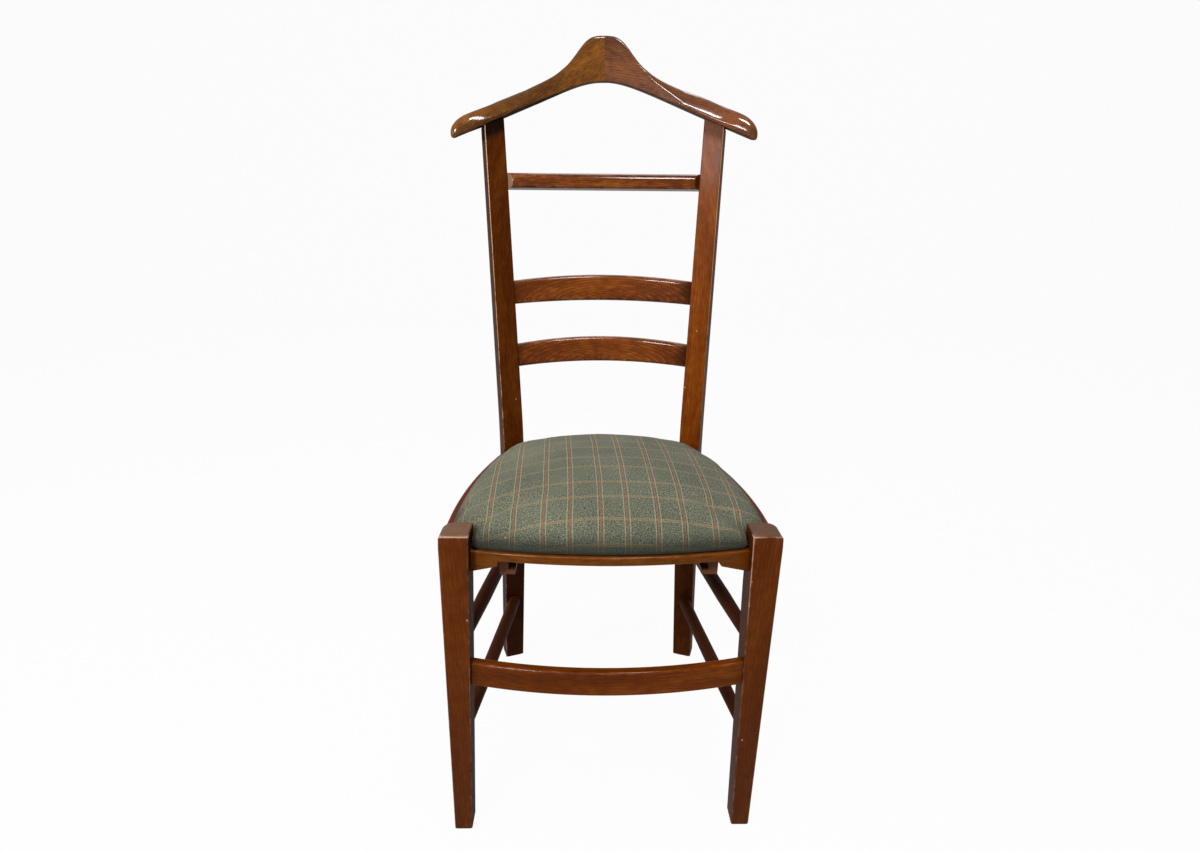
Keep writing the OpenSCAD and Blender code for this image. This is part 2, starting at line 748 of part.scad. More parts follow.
// distance to the corner cut out for a front leg
function ray_notch(dir, in) = dir[1] >= -0.01 ? 1e6 : let (
    px = (leg_in(leg_h) - pad_notch_gap - in) / max(dir[0], 1e-4),
    py = (pad_mid - leg_back(leg_h) - pad_notch_gap - in) / -dir[1])
    pow(pow(px, pad_edge) + pow(py, pad_edge), 1 / pad_edge);
pad_back_r = bow_radius(post_seat_out, pad_back_bend);
// distance from the middle to the outline, taken in by in, at angle a; whole is false
// for the smooth outline without the legs' notches that the crown fades into
function pad_reach(a, in, whole = true) = let (
    dir = [abs(cos(a)), sin(a)],
    rays = concat([ray_circle(dir, side_rail_centre, side_rail_r - rim_w - in),
        ray_circle(dir, [0, rail_crown + rail_r], rail_r - 0.5 - in),
        ray_circle(dir, [0, pad_back - pad_back_r], pad_back_r - in)],
        whole ? [ray_notch(dir, in)] : []),
    near = min(rays),
    edge = whole ? pad_edge : pad_edge / 5)
    near * pow([for (r = rays) pow(near / r, edge)] * [for (r = rays) 1], -1 / edge);
// height of the pad's top at angle a, at the share t of the way from the middle to the side
function pad_top(a, t) = let (
    side = mix(pad_side, pad_corner_side, a < 180 ? pow(abs(sin(2 * a)), 4) : 0))
    pad_wide_z + (side - pad_wide_z) * sqrt(1 - pow(t, pad_roll)) + (pad_crown - side) * (1 - t * t);
function pad_point(a, t, in, z) = let (
    r = t * mix(pad_reach(a, in, false), pad_reach(a, in), pow(t, 6)))
    [r * cos(a), pad_mid + r * sin(a), z];
pad_angles = [for (j = [0 : pad_points - 1]) 360 * (j + 0.5) / pad_points];
function pad_ring(in, z) = [for (a = pad_angles) pad_point(a, 1, in, z)];
pad_shares = [0.3, 0.52, 0.7, 0.83, 0.92, 0.97, 0.993, 1];
function pad_skin(in) = [for (t = pad_shares)
    [for (a = pad_angles) pad_point(a, t, in, pad_under + pad_top(a, t) - in)]];

// a solid through closed rings of points, with a point in the middle at each end
module ringed_solid(first, rings, last) {
    n = pad_points;
    m = len(rings);
    polyhedron(concat([first], [for (ring = rings, p = ring) p], [last]),
        concat([for (j = [0 : n - 1]) [0, (j + 1) % n + 1, j + 1]],
            [for (i = [0 : m - 2], j = [0 : n - 1], h = [0, 1])
                let (p = i * n + j + 1, q = i * n + (j + 1) % n + 1)
                    h == 0 ? [p, q, p + n] : [q, q + n, p + n]],
            [for (j = [0 : n - 1]) let (b = (m - 1) * n + 1) [b + j, b + (j + 1) % n, b + n]]),
        convexity = 8);
}
function pad_apex(in) = [0, pad_mid, pad_under + pad_crown - in];

module seat_cover() {
    foot = pad_draw;
    color(fabric_colour) difference() {
        ringed_solid(pad_apex(0), concat(pad_skin(0),
            [pad_ring(foot * 0.35, pad_under + pad_wide_z * 0.3),
             pad_ring(foot, pad_under),
             pad_ring(foot + turn_under, pad_under),
             pad_ring(foot + turn_under, pad_under + cover_t),
             pad_ring(foot + cover_t, pad_under + cover_t)],
            reversed(pad_skin(cover_t))), pad_apex(cover_t));
        both_sides() seat_screw_shanks(fit_gap);
    }
}

board_in = pad_draw + cover_t + soft_gap;
module seat_board() {
    color(ply_colour) difference() {
        translate([0, 0, board_under]) linear_extrude(board_t)
            polygon([for (p = pad_ring(board_in, 0)) [p[0], p[1]]]);
        both_sides() seat_screw_shanks(fit_gap);
        both_sides() runner_screw_shanks(fit_gap);
    }
}

module seat_foam() {
    in = cover_t + soft_gap;
    top = board_under + board_t;
    color(foam_colour) ringed_solid(pad_apex(in), concat(pad_skin(in),
        [pad_ring(in, top)]), [0, pad_mid, top]);
}

// ---- screws, all up into the seat board
screw_foot = board_under + screw_bite - screw_len;
screw_cone = (screw_head_d - screw_d) / 2;
module screw(at) {
    color(steel_colour) translate([at[0], at[1], screw_foot]) {
        cylinder(d1 = screw_head_d, d2 = screw_d, h = screw_cone);
        cylinder(d = screw_d, h = screw_len - screw_d);
        translate([0, 0, screw_len - screw_d]) cylinder(d1 = screw_d, d2 = 0.4, h = screw_d);
    }
}
module screw_shank(at, gap) {
    translate([at[0], at[1], screw_foot]) cylinder(d = screw_d + 2 * gap, h = screw_len + gap);
}
// clearance hole with its countersink and the counterbore below it
module screw_hole(at, low) {
    screw_shank(at, fit_gap);
    translate([at[0], at[1], screw_foot])
        cylinder(d1 = screw_head_d + 2 * fit_gap, d2 = screw_d + 2 * fit_gap, h = screw_cone + fit_gap);
    translate([at[0], at[1], low - 1]) cylinder(d = screw_head_d + 2 * fit_gap, h = screw_foot - low + 1);
}

seat_screw_in = rim_w + board_in + 6;
seat_screw_ys = [110, 250];
seat_screw_at = [for (y = seat_screw_ys) [side_rail_face(y) - seat_screw_in, y]];
module seat_screw_shanks(gap) { for (p = seat_screw_at) screw_shank(p, gap); }
module seat_screw_holes() { for (p = seat_screw_at) screw_hole(p, seat_h - side_rail_h); }
module seat_screws() { both_sides() for (p = seat_screw_at) screw(p); }

// ---- runners under the seat
runner_under = board_under - runner_h;
flange_mid = runner_in + (runner_w + ledge_w) / 2;
runner_screw_at = [for (y = [runner_front + 40, runner_front + runner_len - 40]) [flange_mid, y]];
module runner_screw_shanks(gap) { for (p = runner_screw_at) screw_shank(p, gap); }
module runner_screws() { both_sides() for (p = runner_screw_at) screw(p); }

module runner(side) {
    on_side(side) color(runner_colour) difference() {
        translate([runner_in, runner_front, runner_under]) cube([runner_w, runner_len, runner_h]);
        translate([runner_in - 1, runner_front - 1, runner_under + ledge_t])
            cube([ledge_w + 1, runner_len + 2, runner_h]);
        for (p = runner_screw_at) screw_hole(p, runner_under);
    }
}

// ---- the whole chair stands centred on its own depth
front_most = stretcher_crown;
back_most = post_top_back + max([for (j = [0 : arm_sides - 1])
    let (p = arm_point(0, 360 * (j + 0.5) / arm_sides)) p[1] * cos(rake) + p[2] * sin(rake)]);
module centred() { translate([0, -(front_most + back_most) / 2, 0]) children(); }

module hanger_joint_dowels() { color(dowel_colour) hanger_joint_dowel(); }
module hanger_post_dowels() { color(dowel_colour) both_sides() hanger_post_dowel(); }

centred() front_leg(-1);  // front_leg_left
centred() front_leg(1);  // front_leg_right
centred() rear_post(-1);  // rear_post_left
centred() rear_post(1);  // rear_post_right
centred() front_rail();
centred() side_rail(-1);  // side_rail_left
centred() side_rail(1);  // side_rail_right
centred() rear_rail();
centred() rail_dowels();
centred() front_stretcher();
centred() side_stretcher(-1, rods[0]);  // upper_side_stretcher_left
centred() side_stretcher(1, rods[0]);  // upper_side_stretcher_right
centred() side_stretcher(-1, rods[1]);  // lower_side_stretcher_left
centred() side_stretcher(1, rods[1]);  // lower_side_stretcher_right
centred() slat(slat_low_z);  // lower_slat
centred() slat(slat_up_z);  // upper_slat
centred() trouser_bar();
centred() hanger(-1, hanger_left_colour);  // hanger_left
centred() hanger(1, hanger_right_colour);  // hanger_right
centred() hanger_joint_dowels();
centred() hanger_post_dowels();
centred() seat_board();
centred() seat_foam();
centred() seat_cover();
centred() seat_screws();
centred() runner(-1);  // runner_left
centred() runner(1);  // runner_right
centred() runner_screws();
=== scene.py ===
import math
import bpy
import numpy as np
from bpy.props import FloatProperty, FloatVectorProperty, PointerProperty
from mathutils import Matrix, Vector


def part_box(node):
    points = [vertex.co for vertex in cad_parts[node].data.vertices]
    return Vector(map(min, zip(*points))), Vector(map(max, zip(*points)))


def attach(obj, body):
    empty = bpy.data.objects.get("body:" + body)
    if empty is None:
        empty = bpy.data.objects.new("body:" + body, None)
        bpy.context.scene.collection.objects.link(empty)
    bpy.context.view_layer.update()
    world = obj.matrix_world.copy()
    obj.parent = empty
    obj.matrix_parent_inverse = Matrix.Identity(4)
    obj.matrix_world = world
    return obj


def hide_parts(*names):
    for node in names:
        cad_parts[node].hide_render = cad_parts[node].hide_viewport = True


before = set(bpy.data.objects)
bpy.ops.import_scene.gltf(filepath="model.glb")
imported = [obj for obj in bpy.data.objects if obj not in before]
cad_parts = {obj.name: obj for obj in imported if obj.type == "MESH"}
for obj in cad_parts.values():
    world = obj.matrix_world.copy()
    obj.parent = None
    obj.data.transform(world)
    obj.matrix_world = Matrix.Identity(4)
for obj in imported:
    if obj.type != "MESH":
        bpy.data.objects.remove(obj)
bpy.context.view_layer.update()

bl_info = {
    "name": "Clothes valet chair",
    "version": (1, 0, 0),
    "blender": (4, 5, 0),
    "location": "3D View > Sidebar > Valet chair",
    "description": "Dresses the solids of a clothes valet chair with eased wood, wool and varnish",
    "category": "Object",
}

MM = 0.001
# Depths are counted from the front faces of the front legs, as the solids do.
FRONT = float(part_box("front_leg_left")[0][1])


def shade(code):
    """Linear colour of a hex code: each channel through the standard display curve."""
    c = np.array([int(code[i:i + 2], 16) for i in (1, 3, 5)]) / 255
    return tuple(np.where(c <= 0.04045, c / 12.92, ((c + 0.055) / 1.055) ** 2.4).tolist())


# ---------------------------------------------------------------- sizes and colours

def length(name, text, value):
    return FloatProperty(name=name, description=text, default=value, min=0, unit="LENGTH", precision=4)


def tint(name, text, code):
    return FloatVectorProperty(name=name, description=text, default=shade(code), size=3, min=0, max=1,
                               subtype="COLOR")


class ValetSizes(bpy.types.PropertyGroup):
    leg_easing: length("Leg easing", "Radius of the front legs' and posts' long edges", 0.0018)
    leg_top_easing: length("Leg top easing", "Radius round the top of a front leg", 0.002)
    leg_top_round: length("Leg top round", "Radius of the outer top edge of a front leg", 0.0065)
    leg_back_corner: length("Leg back corner", "Radius of a front leg's outer rear corner", 0.009)
    rail_easing: length("Rail easing", "Radius of the seat rails' edges", 0.0018)
    slat_easing: length("Slat easing", "Radius of the slats' edges", 0.0045)
    bar_easing: length("Bar easing", "Radius of the trouser bar's long edges", 0.005)
    stretcher_easing: length("Stretcher easing", "Radius of the front stretcher's edges", 0.0034)
    runner_easing: length("Runner easing", "Radius of the runners' edges", 0.0008)
    cushion_slack: length("Cushion slack", "How much smaller the cushion starts before it swells", 0.0022)
    cushion_cap: length("Cushion cap", "Furthest that a point of the cushion may swell", 0.005)
    stripe_wide: length("Wide stripe gap", "Wider gap between the wool's stripes", 0.0353)
    stripe_narrow: length("Narrow stripe gap", "Narrower gap between the wool's stripes", 0.0303)
    stripe_start: FloatProperty(name="Stripe start", default=-0.0097, unit="LENGTH", precision=4,
                                description="Place across the seat of a stripe with the narrow gap on its right")
    cross_repeat: length("Cross line repeat", "Length in which the pair of cross lines comes back", 0.0725)
    cross_wide: length("Cross line gap", "Wider gap between two cross lines", 0.040)
    cross_start: length("Cross line start", "Distance of a cross line from the front of the seat", 0.0285)
    weave_pitch: length("Weave pitch", "Distance between two threads of the wool", 0.0011)


class ValetColours(bpy.types.PropertyGroup):
    beech_dark: tint("Dark beech", "Dark streaks of the legs, posts and slats", "#3c1904")
    beech_brown: tint("Brown beech", "Body colour of the legs, posts and slats", "#692f04")
    beech_light: tint("Light beech", "Light streaks of the legs, posts and slats", "#8d4d14")
    rail_gold: tint("Golden beech", "Body colour of the seat rails", "#75400f")
    rod_brown: tint("Rod brown", "Body colour of the round side stretchers", "#47210c")
    rail_red: tint("Red-brown beech", "Body colour of the side rails", "#622c16")
    hanger_olive: tint("Olive beech", "Left half of the hanger", "#72430f")
    hanger_red: tint("Red beech", "Right half of the hanger", "#6c3c1c")
    # bare wood of chips and worn edges, and also a painted highlight on lit edges and on the trouser bar's left
    # bevel
    bare_wood: tint("Bare wood", "Chips and worn edges", "#c0957a")
    # a painted highlight, with some wear, along the posts' outer front edges
    rubbed_edge: tint("Rubbed edge", "Outer front edges of the posts", "#d8a878")
    end_grain: tint("End grain", "Tops of the front legs", "#7a5a44")
    runner_brown: tint("Runner brown", "The runners under the seat", "#6a422c")
    wool_dark: tint("Dark wool", "Dark threads of the seat's cloth", "#484c41")
    wool_pale: tint("Pale wool", "Pale threads of the seat's cloth", "#797b66")
    wool_fleck: tint("Wool flecks", "Palest threads of the seat's cloth", "#a8a68a")
    stripe_rust: tint("Rust stripe", "Middle line of a stripe", "#9c6548")
    stripe_bright: tint("Bright rust", "Where a rust line meets a cross line", "#b8683c")
    stripe_cream: tint("Cream stripe", "Side lines of a stripe", "#a6a385")
    check_yellow: tint("Tan check", "Crosswise lines of the check", "#a09068")
    plywood: tint("Plywood", "Seat board", "#b08a5a")
    dowel: tint("Dowel", "Dowels and bare joints", "#c9a878")
    steel: tint("Steel", "Screws", "#b8b8bc")
    floor: tint("Floor", "Floor and backdrop", "#d4d4d4")


# ---------------------------------------------------------------- the chair's lines, in mm

LEG_H = 452.0
SEAT_H = 426.5
FOOT_EASING = 4.0
FRAME_UNDER = SEAT_H - 24.5
POST_TOP = 906.0
TURN = math.radians(18.5)
POST_FOOT, POST_SEAT, POST_HEAD = (171.2, 359.0), (153.2, 330.0), (172.6, 418.5)
RAKE = math.atan((POST_HEAD[1] - POST_SEAT[1]) / (POST_TOP - SEAT_H))
# a post's widths and depths at its foot, at the seat and at its top
POST_W, POST_D = (27.5, 30.5, 27.5), (28.0, 34.0, 29.0)
HANGER_HALF = 220.5
HANGER_T = 26.0
RAIL_T, RAIL_BOW = 14.0, 17.5

# how far along its noise each piece's grain is taken, in mm
GRAIN_AT = {
    "front_leg_left": 0, "front_leg_right": 310, "rear_post_left": 700, "rear_post_right": 1100,
    "front_rail": 1500, "side_rail_left": 1700, "side_rail_right": 1900, "rear_rail": 2100,
    "front_stretcher": 2500, "upper_side_stretcher_left": 2987.5, "upper_side_stretcher_right": 3587.5,
    "lower_side_stretcher_left": 2849.5, "lower_side_stretcher_right": 3449.5, "lower_slat": 4100,
    "upper_slat": 4700, "trouser_bar": 0, "hanger_left": 4300, "hanger_right": 5700, "runner_left": 6500,
    "runner_right": 7500,
}
# chips that show bare wood: their places in the model and their sizes, in metres
CHIPS = {
    "front_leg_left": ((-0.1641, -0.2379, 0.3416, 0.0016), (-0.1645, -0.2379, 0.3385, 0.0011)),
    "front_leg_right": ((0.1624, -0.2388, 0.3932, 0.0009), (0.1620, -0.2383, 0.3633, 0.0012),
                        (0.1626, -0.2383, 0.3603, 0.001), (0.1744, -0.2349, 0.1554, 0.0013),
                        (0.1710, -0.2337, 0.0818, 0.001)),
    "rear_post_left": ((-0.1357, 0.1120, 0.5066, 0.0009),),
    "rear_post_right": ((0.1453, 0.1296, 0.6116, 0.001), (0.1308, 0.1173, 0.5251, 0.001)),
    "front_stretcher": ((0.067, -0.2573, 0.2751, 0.0011), (0.0685, -0.2573, 0.2735, 0.0008)),
    "trouser_bar": ((0.0297, 0.1648, 0.8136, 0.0017), (0.0265, 0.1648, 0.8136, 0.001)),
}


def mix(a, b, t):
    return a + (b - a) * t


def bow_radius(half, bow):
    """Radius of the circle that rises by bow over twice half."""
    return (half * half + bow * bow) / (2 * bow)


def leg_out(z):
    return mix(201.0, 189.0, z / LEG_H)


def leg_in(z):
    return leg_out(z) - mix(21.5, 31.5, z / LEG_H)


def leg_front(z):
    return mix(7.4, 0.0, z / LEG_H)


def leg_back(z):
    return leg_front(z) + mix(27.0, 35.0, z / LEG_H)


def post_span(z, foot, seat, top):
    """Straight from foot to seat height, and straight on to the top."""
    z = np.asarray(z, float)
    above = (z - SEAT_H) / (POST_TOP - SEAT_H)
    return np.where(z < SEAT_H, mix(foot, seat, z / SEAT_H), mix(seat, top, above))


def post_blend(z, foot, seat, top, over=120.0):
    """The same with the bend at the seat blended by a quadratic curve over that height."""
    z = np.asarray(z, float)
    t = np.clip((z - SEAT_H + over / 2) / over, 0, 1)
    low, high = post_span(SEAT_H - over / 2, foot, seat, top), post_span(SEAT_H + over / 2, foot, seat, top)
    curve = mix(mix(low, seat, t), mix(seat, high, t), t)
    return np.where((t > 0) & (t < 1), curve, post_span(z, foot, seat, top))


def post_out(z):
    return post_span(z, POST_FOOT[0], POST_SEAT[0], POST_HEAD[0])


def post_back(z):
    return post_span(z, POST_FOOT[1], POST_SEAT[1], POST_HEAD[1])


def post_w(z):
    return post_span(z, *POST_W)


def post_in(z):
    return post_out(z) - post_w(z) * math.cos(TURN)


def inner_line(z):
    """How far the posts' inner front corners lie behind the outer ones, along the rake."""
    return post_w(z) * math.sin(TURN) * math.cos(RAKE)


def from_rake(z0, points):
    """Points of a frame that stands on the posts' front line at height z0 and leans back with them."""
    x, y, z = points[..., 0], points[..., 1], points[..., 2]
    c, s = math.cos(RAKE), math.sin(RAKE)
    return np.stack([x, float(post_back(z0)) + y * c + z * s, z0 - y * s + z * c], -1)


# ---------------------------------------------------------------- surfaces

def eased_box(x0, x1, y0, y1, radii, k=5, side=3):
    """Closed rounded-rectangle loops, one per station: (n, m, 2) points and the (m,) edge mask.

    Each corner is a quarter circle of its own radius in k steps, and each side has
    further points between two corners. The mask is 1 in the middle of a corner.
    """
    x0, x1, y0, y1 = np.broadcast_arrays(*[np.atleast_1d(np.asarray(v, float)) for v in (x0, x1, y0, y1)])
    radii = [np.broadcast_to(np.asarray(r, float), x0.shape) for r in radii]
    mids = [(x0 + radii[0], y0 + radii[0]), (x1 - radii[1], y0 + radii[1]),
            (x1 - radii[2], y1 - radii[2]), (x0 + radii[3], y1 - radii[3])]
    a = np.radians(np.linspace(0, 90, k + 1))
    arcs = []
    for i, (cx, cy) in enumerate(mids):
        t = a + math.pi + i * math.pi / 2
        arcs.append(np.stack([cx[:, None] + radii[i][:, None] * np.cos(t),
                              cy[:, None] + radii[i][:, None] * np.sin(t)], -1))
    loops = []
    s = np.linspace(0, 1, side + 2)[1:-1]
    for i in range(4):
        a0, a1 = arcs[i][:, -1:], arcs[(i + 1) % 4][:, :1]
        loops += [arcs[i], a0 + (a1 - a0) * s[None, :, None]]
    mask = np.concatenate([np.sin(np.linspace(0, math.pi, k + 1)), np.zeros(side)])
    return np.concatenate(loops, 1), np.tile(mask, 4)


def round_inset(distance, radius):
    """How far a surface draws in at that distance from an end rounded to the radius."""
    d = np.clip(radius - distance, 0, radius)
    return radius - np.sqrt(np.maximum(radius * radius - d * d, 0))


def end_steps(low, high, radius, count, k=5):
    """Stations from low to high, closer together over the rounded ends."""
    a = np.radians(np.linspace(0, 90, k + 1))
    near = radius * (1 - np.cos(a))
    return np.unique(np.round(np.concatenate([low + near, np.linspace(low + radius, high - radius, count),
                                              high - near]), 5))


def skin(points, cap=True):
    """Faces over a grid (n, m, 3) whose rows are closed loops, with a face over each end loop."""
    n, m = points.shape[:2]
    i, j = np.meshgrid(np.arange(n - 1), np.arange(m), indexing="ij")
    a, b = i * m + j, i * m + (j + 1) % m
    quads = np.stack([a, b, b + m, a + m], -1).reshape(-1, 4)
    faces = quads.tolist()
    if cap:
        faces += [list(range(m))[::-1], list(range((n - 1) * m, n * m))]
    flat = points.reshape(-1, 3)
    p = flat[quads]
    volume = np.einsum("ij,ij->i", p[:, 0], np.cross(p[:, 1], p[:, 2])).sum() \
        + np.einsum("ij,ij->i", p[:, 0], np.cross(p[:, 2], p[:, 3])).sum()
    if volume < 0:
        faces = [f[::-1] for f in faces]
    return flat, faces


def grid_of(x, y, z):
    """A grid of points from three coordinates, of which some vary along one axis only."""
    return np.stack(np.broadcast_arrays(x, y, z), -1)


def bowed_band(x, radius, crown, thick, low, high, easing):
    """A band bent round an arc of that outer radius: its points, its grain and its edge mask."""
    loops, edge = eased_box(np.full(len(x), -thick / 2), thick / 2, low, high, (easing,) * 4)
    angle = np.arcsin(x / radius)[:, None]
    r = radius - thick / 2 + loops[..., 0]
    points = grid_of(r * np.sin(angle), crown + radius - r * np.cos(angle), loops[..., 1])
    return points, grid_of(x[:, None], loops[..., 1], loops[..., 0]), edge


def smooth(t):
    """0 below 0, 1 above 1, smooth between."""
    t = np.clip(t, 0, 1)
    return t * t * (3 - 2 * t)


def settle(points):
    """The frame's right side stands a little further out, and its front leg leans in to the foot."""
    points = np.array(points, float)
    x, y, z = points[..., 0], points[..., 1], points[..., 2]
    level = smooth((z - 370) / 30) * (1 - smooth((z - 470) / 30))
    depth = np.clip(y / 340, 0, 1)
    lean = mix(-3.0, 2.9, np.clip(z / LEG_H, 0, 1)) * (1 - 0.5 * depth)
    lean = lean + 1.6 * level * np.sin(math.pi * depth)
    points[..., 0] = x + smooth((x - 90) / 90) * (1 - smooth((y - 280) / 60)) * lean
    return points


def place(points):
    """Millimetres with depths from the front legs into metres of the model."""
    return settle(points) * MM + [0, FRONT, 0]


def timber(name, points, slot, grain, tones, bare, edge=0.0, dark=0.0, even=True, **varnish):
    """The wooden piece of a node: a mesh over a grid of closed loops, with its own varnish.

    grain, edge and dark are the wood's own coordinates and masks. The rims of the two end
    faces stay sharp, and the rest is shaded smooth, by faces' size if even.
    """
    material = wood(name + "_varnish", *tones, bare, marks=CHIPS.get(name, ()), **varnish)
    flat, faces = skin(points)
    ring = points.shape[1]
    mesh = bpy.data.meshes.new(name + "_wood")
    mesh.from_pydata(place(flat), [], faces)
    ends = np.empty(len(mesh.edges) * 2, np.int32)
    mesh.edges.foreach_get("vertices", ends)
    ends = ends.reshape(-1, 2)
    rim = (ends < ring).all(1) | (ends >= len(flat) - ring).all(1)
    mesh.attributes.new("sharp_edge", "BOOLEAN", "EDGE").data.foreach_set("value", rim)
    put(mesh, "grain", "FLOAT_VECTOR", (grain + GRAIN_AT[name]) * MM)
    put(mesh, "edge", "FLOAT", np.broadcast_to(edge, points.shape[:2]))
    put(mesh, "dark", "FLOAT", np.broadcast_to(dark, points.shape[:2]))
    mesh.shade_smooth()
    mesh.materials.append(material)
    obj = bpy.data.objects.new(name + "_wood", mesh)
    bpy.context.scene.collection.objects.link(obj)
    if even:
        obj.modifiers.new("Even shading", "WEIGHTED_NORMAL").keep_sharp = True
    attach(obj, "root")
    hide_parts(name)


def put(mesh, name, kind, values):
    layer = mesh.attributes.new(name, kind, "POINT")
    layer.data.foreach_set("vector" if kind == "FLOAT_VECTOR" else "value",
                           np.ascontiguousarray(values, np.float32).ravel())


def mirror(points, side):
    return points * np.array([side, 1, 1]) if side < 0 else points


# ---------------------------------------------------------------- materials

class Sock:
    """A node's output that takes part in arithmetic, which adds the Math nodes."""

    def __init__(self, kit, out):
        self.kit, self.out = kit, out

    def math(self, operation, *others):
        return self.kit.node("Math", {"operation": operation}, dict(enumerate((self,) + others)))

    def __add__(self, other):
        return self.math("ADD", other)

    def __sub__(self, other):
        return self.math("SUBTRACT", other)

    def __mul__(self, other):
        return self.math("MULTIPLY", other)

    def __pow__(self, other):
        return self.math("POWER", other)

    def __rsub__(self, other):
        return self.kit.node("Math", {"operation": "SUBTRACT"}, {0: other, 1: self})

    def step(self, low, high):
        """0 below low, 1 above high, smooth between."""
        return self.kit.node("MapRange", {"interpolation_type": "SMOOTHSTEP", "clamp": True},
                             {"Value": self, "From Min": low, "From Max": high})

    def clamp(self):
        return self.kit.node("Clamp", {}, {"Value": self})


class Kit:
    """A material or world being built: node() takes a type, its settings and its values or links."""

    def __init__(self, owner):
        self.owner = bpy.data.materials.new(owner) if isinstance(owner, str) else owner
        self.owner.use_nodes = True
        self.tree = self.owner.node_tree
        self.tree.nodes.clear()

    def node(self, kind, settings=None, values=None, out=0):
        n = self.tree.nodes.new("ShaderNode" + kind)
        for key, value in (settings or {}).items():
            if key == "stops":
                ramp = n.color_ramp
                while len(ramp.elements) < len(value):
                    ramp.elements.new(0.5)
                for element, (at, colour) in zip(ramp.elements, value):
                    element.position = at
                    element.color = (*colour, 1)
            else:
                setattr(n, key, value)
        for key, value in (values or {}).items():
            socket = n.inputs[key]
            if isinstance(value, Sock):
                self.tree.links.new(value.out, socket)
            elif socket.type == "RGBA" and len(value) == 3:
                socket.default_value = (*value, 1)
            else:
                socket.default_value = value
        return Sock(self, n.outputs[out]) if n.outputs else None

    def attribute(self, name, out="Fac"):
        return self.node("Attribute", {"attribute_name": name}, out=out)

    def split(self, vector):
        n = self.tree.nodes.new("ShaderNodeSeparateXYZ")
        self.tree.links.new(vector.out, n.inputs[0])
        return [Sock(self, o) for o in n.outputs]

    def rays(self):
        """The light path's camera, glossy and transmission outputs."""
        n = self.tree.nodes.new("ShaderNodeLightPath")
        return [Sock(self, n.outputs["Is %s Ray" % kind]) for kind in ("Camera", "Glossy", "Transmission")]

    def stretch(self, vector, factors):
        return self.node("VectorMath", {"operation": "MULTIPLY"}, {0: vector, 1: factors})

    def noise(self, vector, scale, detail=3.0, rough=0.5, distortion=0.0):
        return self.node("TexNoise", {}, {"Vector": vector, "Scale": scale, "Detail": detail,
                                          "Roughness": rough, "Distortion": distortion})

    def blend(self, factor, a, b):
        return self.node("Mix", {"data_type": "RGBA"}, {0: factor, 6: a, 7: b}, out=2)

    def away(self, vector, place):
        """Distance of a vector from a fixed place."""
        return self.node("VectorMath", {"operation": "DISTANCE"}, {0: vector, 1: place}, out="Value")

    def bump(self, height, distance, strength=1.0):
        return self.node("Bump", {}, {"Height": height, "Distance": distance, "Strength": strength})

    def surface(self, **values):
        keys = {k.replace("_", " "): v for k, v in values.items()}
        shader = self.node("BsdfPrincipled", {}, keys)
        self.node("OutputMaterial", {}, {"Surface": shader})
        return self.owner


